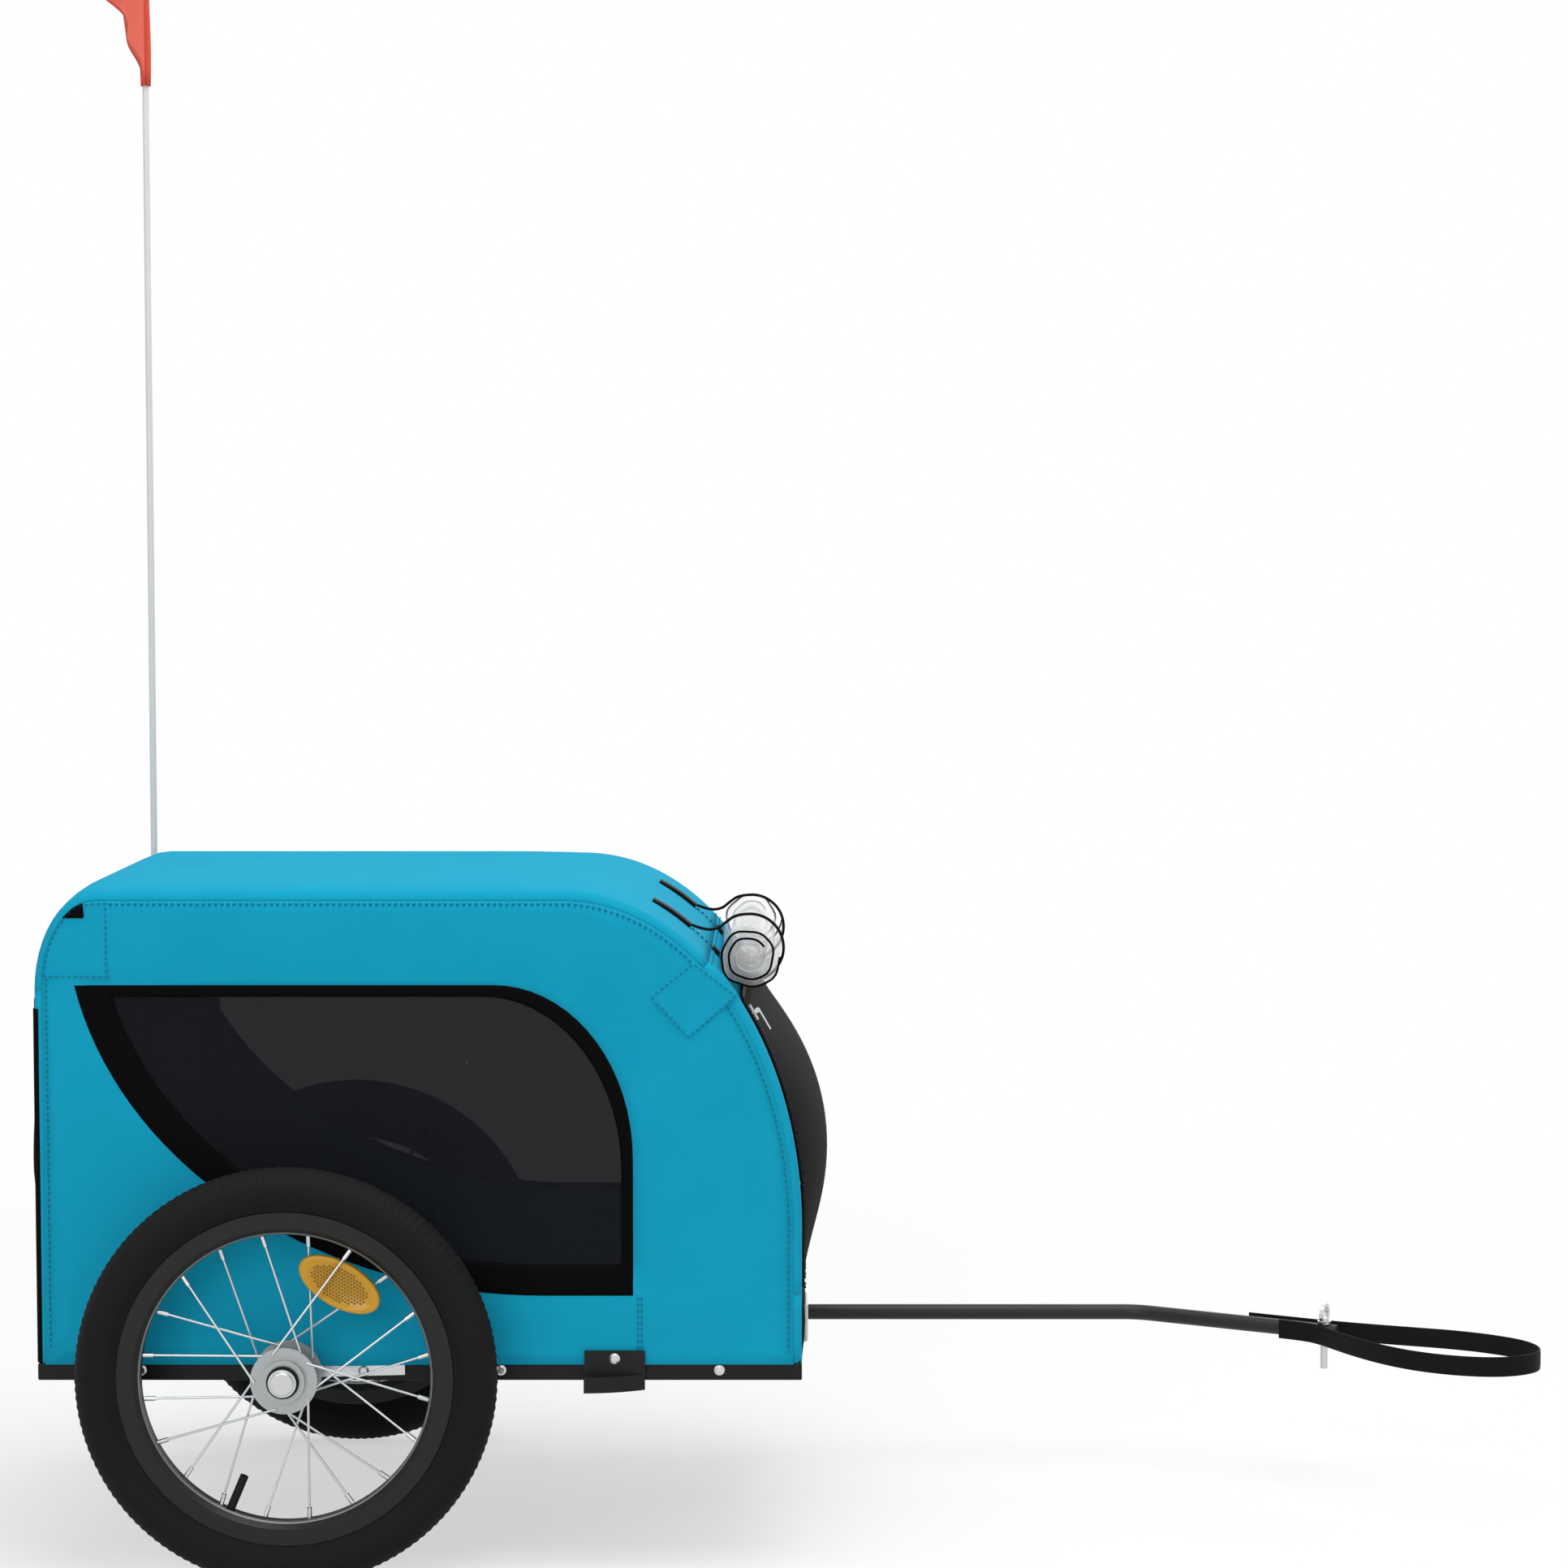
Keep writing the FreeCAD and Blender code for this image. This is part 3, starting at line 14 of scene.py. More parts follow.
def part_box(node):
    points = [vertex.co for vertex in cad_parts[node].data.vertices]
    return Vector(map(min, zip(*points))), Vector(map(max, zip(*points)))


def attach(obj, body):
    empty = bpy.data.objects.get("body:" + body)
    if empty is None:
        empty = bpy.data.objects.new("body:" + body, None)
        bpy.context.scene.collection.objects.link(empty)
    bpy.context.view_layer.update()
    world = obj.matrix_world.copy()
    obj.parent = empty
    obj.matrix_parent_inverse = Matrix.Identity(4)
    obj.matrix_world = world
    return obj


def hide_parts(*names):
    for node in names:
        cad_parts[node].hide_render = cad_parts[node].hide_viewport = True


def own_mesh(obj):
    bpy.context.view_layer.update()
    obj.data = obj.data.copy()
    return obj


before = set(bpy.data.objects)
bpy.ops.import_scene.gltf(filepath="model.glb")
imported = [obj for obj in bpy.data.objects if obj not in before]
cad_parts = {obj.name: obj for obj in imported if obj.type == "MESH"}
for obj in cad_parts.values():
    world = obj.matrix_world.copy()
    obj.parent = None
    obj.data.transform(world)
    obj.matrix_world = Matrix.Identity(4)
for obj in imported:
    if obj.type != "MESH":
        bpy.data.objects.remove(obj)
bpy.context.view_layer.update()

# %% [markdown]
# ## Camera
# The photograph is a side view from the right. The horizon lies above the middle of the picture, so the
# camera looks a little down. A long lens keeps the two wheels nearly the same size.

# %% Camera
camera_place = Vector((-0.023, -3.582, 0.955))
camera_pitch = 3.583
camera_lens = 82.7

camera = bpy.data.objects.new("camera", bpy.data.cameras.new("camera"))
bpy.context.scene.collection.objects.link(camera)
camera.location = camera_place
camera.rotation_euler = (math.radians(90 - camera_pitch), 0, 0)
camera.data.lens = camera_lens
camera.data.sensor_width = 36.0
bpy.context.scene.camera = camera
bpy.context.scene.view_settings.view_transform = "Standard"
print("camera at", tuple(camera_place))

# %% [markdown]
# ## Shared effects as node groups
# A node group is a small machine that several materials can use. Each one here puts out only colours, values
# and heights. The weave crosses two wave textures under soft noise. The grain is fine noise, which can be
# stretched along one direction, over a coarse smudge.

# %% Node helpers
white = (1.0, 1.0, 1.0, 1.0)


def feed(tree, socket, value):
    """Set a socket to a value, or link another socket to it."""
    if isinstance(value, bpy.types.NodeSocket):
        tree.links.new(value, socket)
    else:
        socket.default_value = value


def add_node(tree, kind, **values):
    """A node with some of its inputs fed or its properties set."""
    node = tree.nodes.new(kind)
    for label, value in values.items():
        socket = node.inputs.get(label.replace("_", " "))
        if socket is None:
            setattr(node, label, value)
        else:
            feed(tree, socket, value)
    return node


def math_node(tree, operation, first, second, kind="ShaderNodeMath"):
    """The result of a math node whose inputs are values or sockets."""
    node = add_node(tree, kind, operation=operation)
    feed(tree, node.inputs[0], first)
    feed(tree, node.inputs[1], second)
    return node.outputs[0]


def darker(tree, tint, amount):
    """A colour scaled by one minus an amount."""
    share = math_node(tree, "SUBTRACT", 1.0, amount)
    return add_node(tree, "ShaderNodeVectorMath", operation="SCALE", Vector=tint, Scale=share).outputs[0]


def new_group(name, inputs, outputs):
    """An empty node group, with the sockets that bring its inputs and take its outputs."""
    group = bpy.data.node_groups.new(name, "ShaderNodeTree")
    for way, labels in (("INPUT", inputs), ("OUTPUT", outputs)):
        for label in labels:
            kind = "NodeSocketColor" if label == "Colour" else "NodeSocketFloat"
            group.interface.new_socket(label, in_out=way, socket_type=kind)
    return group, group.nodes.new("NodeGroupInput").outputs, group.nodes.new("NodeGroupOutput").inputs


# %% Weave group
weave, weave_in, weave_out = new_group("weave", ("Colour", "Threads", "Contrast"), ("Colour", "Height"))
weave_place = add_node(weave, "ShaderNodeTexCoord").outputs["Object"]
weave_turn = add_node(weave, "ShaderNodeMapping", Vector=weave_place, Rotation=(0.35, 0.25, 0.3))
threads = []
for direction in ("X", "Z"):
    wave = add_node(weave, "ShaderNodeTexWave", bands_direction=direction, Distortion=0.6, Detail=1.0,
                    Vector=weave_turn.outputs[0], Scale=weave_in["Threads"])
    threads.append(wave.outputs["Fac"])
thread_height = math_node(weave, "MULTIPLY", *threads)
weave_cloud = add_node(weave, "ShaderNodeTexNoise", Vector=weave_place, Scale=14.0, Detail=4.0)
weave_shade = math_node(weave, "ADD", math_node(weave, "MULTIPLY", thread_height, 0.5),
                        math_node(weave, "MULTIPLY", weave_cloud.outputs["Fac"], 0.9))
weave_dark = math_node(weave, "MULTIPLY", weave_shade, weave_in["Contrast"])
feed(weave, weave_out["Colour"], darker(weave, weave_in["Colour"], weave_dark))
feed(weave, weave_out["Height"], thread_height)
print("group", weave.name, "nodes", len(weave.nodes))

# %% Grain group
grain, grain_in, grain_out = new_group(
    "grain", ("Colour", "Scale", "Contrast", "Stretch", "Roughness", "Spread"),
    ("Colour", "Roughness", "Height"))
grain_place = add_node(grain, "ShaderNodeTexCoord").outputs["Object"]
grain_stretch = add_node(grain, "ShaderNodeCombineXYZ", X=1.0, Y=grain_in["Stretch"], Z=1.0)
grain_scale = math_node(grain, "MULTIPLY", grain_place, grain_stretch.outputs[0], "ShaderNodeVectorMath")
grain_noise = add_node(grain, "ShaderNodeTexNoise", Vector=grain_scale, Scale=grain_in["Scale"],
                       Detail=3.0).outputs["Fac"]
grain_smudge = add_node(grain, "ShaderNodeTexNoise", Vector=grain_place, Scale=9.0, Detail=4.0).outputs["Fac"]
grain_both = math_node(grain, "ADD", grain_noise, grain_smudge)
grain_dark = math_node(grain, "MULTIPLY", grain_in["Contrast"], grain_both)
grain_centred = math_node(grain, "SUBTRACT", grain_smudge, 0.5)
grain_uneven = math_node(grain, "MULTIPLY", grain_in["Spread"], grain_centred)
feed(grain, grain_out["Colour"], darker(grain, grain_in["Colour"], grain_dark))
feed(grain, grain_out["Roughness"], math_node(grain, "ADD", grain_in["Roughness"], grain_uneven))
feed(grain, grain_out["Height"], grain_noise)
print("group", grain.name, "nodes", len(grain.nodes))

# %% [markdown]
# ## Finishes
# Each material is one Principled shader. A group feeds its colour, its bump and, for hard surfaces, its
# roughness. What is the same all over, such as metallic or sheen, is set on the shader itself, so that an
# export keeps it.

# %% Finish helpers
cloth_bump, solid_bump, sheen_roughness = 0.35, 0.3, 0.5


def linear(red, green, blue):
    """A colour written as 0 to 255 screen values, made linear."""
    def channel(value):
        share = value / 255
        return share / 12.92 if share <= 0.04045 else ((share + 0.055) / 1.055) ** 2.4
    return (channel(red), channel(green), channel(blue), 1.0)


def finish_from(name, group, settings, bump_strength, bump_depth, values):
    """A material whose group feeds its Principled shader; values are the same all over it."""
    material = bpy.data.materials.new(name)
    material.use_nodes = True
    tree = material.node_tree
    shader = tree.nodes["Principled BSDF"].inputs
    for label, value in values.items():
        shader[label].default_value = value
    effect = add_node(tree, "ShaderNodeGroup", node_tree=group, **settings).outputs
    bump = add_node(tree, "ShaderNodeBump", Strength=bump_strength, Distance=bump_depth,
                    Height=effect["Height"])
    feed(tree, shader["Normal"], bump.outputs[0])
    feed(tree, shader["Base Color"], effect["Colour"])
    if "Roughness" in effect:
        feed(tree, shader["Roughness"], effect["Roughness"])
    return material


def woven(name, tint, threads=700.0, contrast=0.14, roughness=0.8, sheen=0.03, bump_depth=0.0003,
          alpha=1.0, shine=0.12):
    """Cloth, webbing or mesh."""
    settings = {"Colour": tint, "Threads": threads, "Contrast": contrast}
    values = {"Roughness": roughness, "Sheen Weight": sheen, "Sheen Roughness": sheen_roughness,
              "Specular IOR Level": shine, "Alpha": alpha}
    return finish_from(name, weave, settings, cloth_bump, bump_depth, values)


def solid(name, tint, roughness=0.5, metallic=0.0, scale=700.0, contrast=0.12, stretch=1.0, spread=0.15,
          bump_depth=0.0001, coat=0.0, alpha=1.0, shine=0.5):
    """Paint, metal, plastic, rubber or film."""
    settings = {"Colour": tint, "Scale": scale, "Contrast": contrast, "Stretch": stretch,
                "Roughness": roughness, "Spread": spread}
    values = {"Metallic": metallic, "Coat Weight": coat, "Specular IOR Level": shine, "Alpha": alpha}
    return finish_from(name, grain, settings, solid_bump, bump_depth, values)


# %% The finishes of this trailer
blue_cloth = woven("blue cloth", linear(20, 158, 192), sheen=0.01, shine=0.04)
black_cloth = woven("black cloth", linear(9, 9, 10), contrast=0.2, sheen=0.0, shine=0.04)
window_net = woven("window net", linear(27, 28, 32), threads=500.0, contrast=0.25, alpha=0.88,
                   sheen=0.0, shine=0.05)
door_net = woven("door net", linear(18, 18, 19), threads=500.0, contrast=0.3, alpha=0.95,
                 sheen=0.0, shine=0.08)
webbing = woven("black webbing", linear(16, 16, 17), threads=420.0, contrast=0.3,
                roughness=0.6, bump_depth=0.0006, sheen=0.0, shine=0.1)
blue_thread = woven("blue thread", linear(24, 128, 160), threads=1500.0)
pad_cloth = woven("grey pad cloth", linear(58, 58, 61), threads=500.0)
flag_cloth = woven("orange red flag cloth", linear(221, 88, 68), threads=800.0, roughness=0.7)
frame_paint = solid("black frame paint", linear(14, 14, 15), roughness=0.45, shine=0.22)
tow_paint = solid("grey tow bar paint", linear(42, 42, 42), roughness=0.38, shine=0.2)
rim_paint = solid("black rim paint", linear(18, 18, 18), roughness=0.4, shine=0.3)
rim_edge = solid("bare rim edge", linear(120, 122, 122), roughness=0.35, metallic=0.8)
bright_steel = solid("bright steel", linear(214, 217, 218), roughness=0.28, metallic=1.0, spread=0.2)
hub_metal = solid("satin hub metal", linear(176, 181, 181), roughness=0.42, metallic=0.85, stretch=6.0)
button_metal = solid("polished button", linear(216, 217, 216), roughness=0.2, metallic=0.9)
tyre_rubber = solid("tyre rubber", linear(23, 23, 23), roughness=0.75, scale=900.0,
                    bump_depth=0.0004, shine=0.12)
soft_rubber = solid("black rubber", linear(16, 16, 16), roughness=0.6, shine=0.2)
moulded_black = solid("moulded black plastic", linear(14, 14, 14), roughness=0.5,
                      bump_depth=0.0002, shine=0.25)
amber_lens = solid("amber lens", linear(204, 150, 18), roughness=0.22, coat=0.25, shine=0.3)
amber_core = solid("amber prisms", linear(142, 106, 24), roughness=0.35, shine=0.25)
red_lens = solid("red lens", linear(178, 28, 26), roughness=0.22, coat=0.6)
clear_lens = solid("clear lens", linear(214, 217, 220), roughness=0.18, coat=0.6)
clear_film = solid("clear film", linear(240, 242, 243), roughness=0.16, scale=45.0,
                   contrast=0.07, bump_depth=0.004, coat=0.5, alpha=0.36)
floor_board = solid("floor board", linear(30, 30, 31), roughness=0.7)
pole_white = solid("white pole", linear(214, 215, 215), roughness=0.35, coat=0.2)
print("materials", len(bpy.data.materials))

# %% [markdown]
# ## Making pieces
# Most cloth here is a grid of points turned into quads. These helpers make the mesh, give it a finish, and
# tell the frame which body it moves with.

# %% Mesh helpers
both_sides = (("right", -1), ("left", 1))
upwards = Vector((0, 0, 1))


def folds_down(piece):
    """A piece with its own copy of its mesh."""
    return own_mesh(piece)


def place(name, mesh, finish, body="base", node=None, thickness=0.0, offset=-1.0, folds=False, smooth=True):
    """Link a mesh as a piece that rides on a body; node names the CAD node that it stands for."""
    piece = bpy.data.objects.new(name, mesh)
    bpy.context.scene.collection.objects.link(piece)
    mesh.materials.clear()
    mesh.materials.append(finish)
    for face in mesh.polygons:
        face.use_smooth = smooth
    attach(piece, body)
    if thickness:
        shell = piece.modifiers.new("thickness", "SOLIDIFY")
        shell.thickness = thickness
        shell.offset = offset
    if node:
        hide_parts(node)
    if folds:
        folds_down(piece)
    return piece


def mesh_from(name, points, faces):
    """A mesh from points and faces, with its normals made consistent."""
    mesh = bpy.data.meshes.new(name)
    mesh.from_pydata([tuple(p) for p in points], [], faces)
    weld = bmesh.new()
    weld.from_mesh(mesh)
    bmesh.ops.remove_doubles(weld, verts=weld.verts, dist=1e-6)
    bmesh.ops.recalc_face_normals(weld, faces=weld.faces)
    weld.to_mesh(mesh)
    weld.free()
    return mesh


def grid_mesh(name, rows, around=False, closed=False, keep=None, face_way=None):
    """Quads between rows of points; around joins each row's ends, closed joins the last row to the first.

    face_way gives, for a face's middle, the way that an open sheet's faces look.
    """
    across = len(rows[0])
    points = [p for row in rows for p in row]
    faces = []
    for i in range(len(rows) if closed else len(rows) - 1):
        for j in range(across if around else across - 1):
            if keep is None or keep(i, j):
                here, ahead = i * across, (i + 1) % len(rows) * across
                next_j = (j + 1) % across
                faces.append((here + j, here + next_j, ahead + next_j, ahead + j))
    mesh = mesh_from(name, points, faces)
    if face_way and sum(face.normal.dot(face_way(face.center)) * face.area for face in mesh.polygons) < 0:
        mesh.flip_normals()
    return mesh


def panel(name, rows, finish, body="base", around=False, closed=False, keep=None, face_way=None, **more):
    """A piece that is one grid."""
    return place(name, grid_mesh(name, rows, around, closed, keep, face_way), finish, body, **more)


def shares(count):
    """Even steps from 0 to 1."""
    return [i / (count - 1) for i in range(count)]


def mix(first, last, share):
    """A value part of the way from one to another."""
    return first + (last - first) * share


def turns(count):
    """Even angles round a circle."""
    return [2 * math.pi * k / count for k in range(count)]


def oval(centre, first, second, count):
    """Points round an oval with two half axes."""
    return [centre + first * math.cos(t) + second * math.sin(t) for t in turns(count)]


def heading(points, i):
    """The direction of a line at one of its points."""
    return (points[min(i + 1, len(points) - 1)] - points[max(i - 1, 0)]).normalized()


def bar_along(points, half_thick, half_height, sides=8):
    """Rows of a flat upright bar with rounded edges that follows points."""
    rows = []
    for i, here in enumerate(points):
        out = heading(points, i).cross(upwards).normalized()
        row = []
        for k in range(sides):
            turn = 2 * math.pi * (k + 0.5) / sides
            round_x = math.copysign(abs(math.cos(turn)) ** 0.5, math.cos(turn))
            round_z = math.copysign(abs(math.sin(turn)) ** 0.5, math.sin(turn))
            row.append(here + out * half_thick * round_x + upwards * half_height * round_z)
        rows.append(row)
    return rows


def nurbs_mesh(name, knots, resolution, bevel=0.0):
    """The mesh of a NURBS curve: a bare line, or a tube where it has a bevel."""
    curve = bpy.data.curves.new(name, "CURVE")
    curve.dimensions = "3D"
    curve.resolution_u = resolution
    curve.bevel_depth = bevel
    curve.bevel_resolution = 3
    curve.use_fill_caps = bevel > 0
    line = curve.splines.new("NURBS")
    line.points.add(len(knots) - 1)
    for point, knot in zip(line.points, knots):
        point.co = (*knot, 1.0)
    line.order_u = 3
    line.use_endpoint_u = True
    return bpy.data.meshes.new_from_object(bpy.data.objects.new(name, curve))


# %% [markdown]
# ## Cords over the rolled rain cover
# Two thin elastic cords hold the roll. A NURBS curve led by a few given points sags a little, climbs
# over the roll and comes back under it. The curve then becomes a tube mesh.

# %% Cords
cord_diameter = 0.003
cord_side = 0.100
cord_steps = 10
cord_route = ((-0.1126, 0.6001), (-0.1000, 0.5950), (-0.0870, 0.5962), (-0.0790, 0.6030), (-0.0690, 0.6102),
              (-0.0453, 0.6110), (-0.0267, 0.5964), (-0.0217, 0.5733), (-0.0328, 0.5524), (-0.0536, 0.5436),
              (-0.0690, 0.5491))
for side, sign in both_sides:
    cord_knots = [(x, sign * cord_side, z) for x, z in cord_route]
    cord_path = [tuple(v.co) for v in nurbs_mesh("cord line " + side, cord_knots, cord_steps).vertices]
    cord_tube = nurbs_mesh("cord tube " + side, cord_knots, cord_steps, cord_diameter / 2)
    cord = place("roll_cord_" + side, cord_tube, webbing, node="roll_straps", folds=True)

# %% [markdown]
# ## The cabin's outline
# The cover is one closed shape in the side view: a straight rear wall, a rounded rear corner, a flat roof and
# a long rounded nose. Every cloth panel below is cut from this line. The cloth rolls over softly at the edge
# between the wrap and the flat sides.

# %% Outline of the cabin
rear_x, front_x, roof_z, rail_z = -0.727, -0.006, 0.643, 0.1975
half_width = 0.225
rear_corner = (0.060, 0.093)
nose_reach = (0.229, 0.333)
nose_centre = (front_x - nose_reach[0], roof_z - nose_reach[1])
roll_over = 0.008
roof_crown, crown_past_nose, crown_fade = 0.007, 0.130, 0.200
nose_fullness = 0.004
rear_swell = 0.0015


def nose(angle, lift=0.0):
    """A point of the nose in the side view; degrees count from its top to its front."""
    turn = math.radians(angle)
    reach = lift + nose_fullness * math.sin(2 * turn)
    return (nose_centre[0] + (nose_reach[0] + reach) * math.sin(turn),
            nose_centre[1] + (nose_reach[1] + reach) * math.cos(turn))


def nose_angle(z):
    """The nose angle at a height, found by halving."""
    low, high = 0.0, 90.0
    for _ in range(30):
        middle = (low + high) / 2
        if nose(middle)[1] > z:
            low = middle
        else:
            high = middle
    return low


def nose_normal(angle):
    """The outward direction at a nose angle."""
    turn = math.radians(angle)
    return Vector((math.sin(turn) / nose_reach[0], 0, math.cos(turn) / nose_reach[1])).normalized()


def ease(value):
    """A soft step from 0 to 1."""
    share = min(max(value, 0.0), 1.0)
    return share * share * (3 - 2 * share)


def cabin_line():
    """Points of the outline from the rear foot over the roof to the front foot."""
    line = [(rear_x, mix(rail_z, roof_z - rear_corner[1], s)) for s in shares(22)]
    for s in shares(13)[1:]:
        turn = math.radians(90 * (1 - s))
        line.append((rear_x + rear_corner[0] * (1 - math.sin(turn)),
                     roof_z - rear_corner[1] * (1 - math.cos(turn))))
    line += [(mix(rear_x + rear_corner[0], nose_centre[0], s), roof_z) for s in shares(18)[1:]]
    line += [nose(90 * s) for s in shares(37)[1:]]
    line += [(front_x, mix(nose_centre[1], rail_z, s)) for s in shares(8)[1:]]
    return line


outline = cabin_line()


def outward(index):
    """The outward direction at a point of the outline."""
    ahead = outline[min(index + 1, len(outline) - 1)]
    behind = outline[max(index - 1, 0)]
    along = Vector((ahead[0] - behind[0], 0, ahead[1] - behind[1])).normalized()
    return Vector((-along.z, 0, along.x))


def wrap_point(index, y, lift=0.0):
    """A point of the wrapped cloth: crowned in the middle of the roof and rolled over at the sides."""
    x, z = outline[index]
    crown_end = nose_centre[0] + crown_past_nose
    rise = ease((x - rear_x) / rear_corner[0]) * ease((crown_end - x) / crown_fade)
    crown = roof_crown * rise * (1 - abs(y / half_width) ** 8)
    if x < rear_x + rear_corner[0]:
        height = (z - rail_z) / (roof_z - rail_z)
        crown += rear_swell * (1 - abs(y / half_width) ** 4) * math.sin(math.pi * height)
    beyond = max(abs(y) - (half_width - roll_over), 0.0)
    drop = roll_over - math.sqrt(max(roll_over ** 2 - beyond ** 2, 0.0))
    return Vector((x, y, z)) + outward(index) * (crown - drop + lift)


print("outline points", len(outline))

# %% [markdown]
# ## Wrapped cloth: rear wall, roof, nose and lower front
# The wrap is one curved sheet in several panels, as it is sewn. Points across it crowd together at the
# sides, where the cloth turns over. The nose panel has a mouth where the mesh door sits. The dark panel below
# it ends where the cloth turns, and a blue edge goes on at each side.

# %% Wrapped panels
mouth_half = 0.189
mouth_bottom, mouth_top = 0.271, 0.530
roof_front_z, lower_front_z = 0.580, 0.264
wrap_thickness, lower_bulge = 0.0014, 0.004
cabin_middle = Vector((-0.360, 0.0, 0.400))
sewn_edges, mouth_rim = 0.010, (0.010, 0.018)
turned_y = half_width - roll_over
side_steps = [half_width - roll_over * (1 - math.sin(math.radians(a))) for a in (0, 22, 44, 60, 75, 90)]
side_steps += [mouth_half + rim for rim in mouth_rim]
flat_steps = [mix(-mouth_half, mouth_half, s) for s in shares(25)]
across_steps = sorted({round(y, 5) for y in flat_steps + side_steps + [-y for y in side_steps]})
rear_top = next(i for i, (x, z) in enumerate(outline) if z >= roof_z - rear_corner[1] - 1e-6)
nose_seam = next(i for i, (x, z) in enumerate(outline) if x > nose_centre[0] and z <= roof_front_z)
lower_seam = next(i for i, (x, z) in enumerate(outline) if i > nose_seam and z <= lower_front_z)
front_foot = len(outline) - 1


def line_length(first, last):
    """Length of a stretch of the outline."""
    stretch = outline[first:last + 1]
    return sum(math.dist(a, b) for a, b in zip(stretch, stretch[1:]))


def wrap_panel(name, first, last, finish, node=None, keep=None, bulge=0.0, lift=0.0):
    """One panel of the wrapped cloth, which may bulge between its edges."""
    rows = []
    for i in range(first, last + 1):
        full = bulge * math.sin(math.pi * (i - first) / (last - first)) ** 0.5
        rows.append([wrap_point(i, y, lift + full * (1 - abs(y / half_width) ** 8)) for y in across_steps])
    return panel(name, rows, finish, keep=keep, face_way=lambda spot: spot - cabin_middle, node=node,
                 thickness=wrap_thickness, folds=True)


def face_y(j):
    """Y at the middle of a face of the wrap."""
    return (across_steps[j] + across_steps[j + 1]) / 2


def outside_mouth(i, j):
    """Whether a face of the nose panel lies outside the door's mouth."""
    z = (outline[nose_seam + i][1] + outline[nose_seam + i + 1][1]) / 2
    return abs(face_y(j)) > mouth_half or not mouth_bottom < z < mouth_top


rear_panel = wrap_panel("rear_wall_cloth", 0, rear_top, blue_cloth, "rear_cover")
roof_panel = wrap_panel("roof_cloth", rear_top, nose_seam, blue_cloth, "roof_cover")
nose_panel = wrap_panel("nose_cloth", nose_seam, lower_seam, blue_cloth, "front_frame_cover", outside_mouth)
lower_panel = wrap_panel("lower_front_cloth", lower_seam, front_foot, black_cloth, "front_lower_cover",
                         lambda i, j: abs(face_y(j)) < turned_y, bulge=lower_bulge)
for side, sign in both_sides:
    edge_panel = wrap_panel("front_edge_cloth_" + side, lower_seam, front_foot, blue_cloth,
                            keep=lambda i, j: sign * face_y(j) > turned_y)
print("roof length", round(line_length(rear_top, nose_seam), 3))

# %% [markdown]
# ## Flat sides with their windows
# Each side is a flat panel with a window in it. A ring of quads between the panel's edge and the window lets
# the cloth swell a little between its seams. The same ring makes the black border, and rings drawn in to a
# point fill the net.

# %% Window outline and rings
window_top, window_bottom, window_front, window_curve_x = 0.556, 0.262, -0.165, -0.250
window_curve = (0.446, 0.363)
window_corner = (0.130, 0.164)
window_centre = (-0.360, 0.420)
border_margins = (0.011, 0.011, 0.029, 0.031)
border_overlap = 0.006
hole_margins = tuple(m - border_overlap for m in border_margins)
foot_z, pinhole_radius = 0.1965, 0.001


def window_loop(top, front, bottom, rear):
    """Closed outline of the window, drawn in by a margin on each side."""
    high, ahead, low = window_top - top, window_front - front, window_bottom + bottom
    reach_x, reach_z = window_curve[0] - rear, window_curve[1] - bottom
    centre_z = window_bottom + window_curve[1]
    last = math.acos((centre_z - high) / reach_z)
    loop = [(window_curve_x - reach_x * math.sin(last * s), centre_z - reach_z * math.cos(last * s))
            for s in shares(34)]
    for s in shares(18):
        turn = math.radians(90 * s)
        loop.append((ahead - window_corner[0] * (1 - math.sin(turn)),
                     high - window_corner[1] * (1 - math.cos(turn))))
    loop.append((ahead, low))
    return loop


def ray_hit(angle, loop):
    """Where a ray from the window's centre meets a closed outline."""
    way = (math.cos(angle), math.sin(angle))
    for (ax, az), (bx, bz) in zip(loop, loop[1:] + loop[:1]):
        ex, ez = bx - ax, bz - az
        det = way[0] * -ez + way[1] * ex
        if abs(det) < 1e-12:
            continue
        gx, gz = ax - window_centre[0], az - window_centre[1]
        reach = (gx * -ez + gz * ex) / det
        share = (way[0] * gz - way[1] * gx) / det
        if reach > 0 and -1e-9 <= share <= 1 + 1e-9:
            return (window_centre[0] + way[0] * reach, window_centre[1] + way[1] * reach)
    return loop[0]


def centre_angle(x, z):
    """The angle at which a place is seen from the window's centre."""
    return math.atan2(z - window_centre[1], x - window_centre[0])


def ring_rows(inner, outer, count, height):
    """Rows of points from one closed outline to another; height gives Y at a share and a place."""
    angles = sorted({round(centre_angle(x, z), 5) for x, z in inner + outer}
                    | {round(math.radians(a), 5) for a in range(-180, 180, 4)})
    ends = [(ray_hit(angle, inner), ray_hit(angle, outer)) for angle in angles]
    rows = []
    for s in shares(count):
        row = []
        for first, last in ends:
            x, z = mix(first[0], last[0], s), mix(first[1], last[1], s)
            row.append(Vector((x, height(s, x, z), z)))
        rows.append(row)
    return rows


def loop_area(loop):
    """Area inside a closed outline."""
    pairs = zip(loop, loop[1:] + loop[:1])
    return abs(sum(ax * bz - bx * az for (ax, az), (bx, bz) in pairs)) / 2


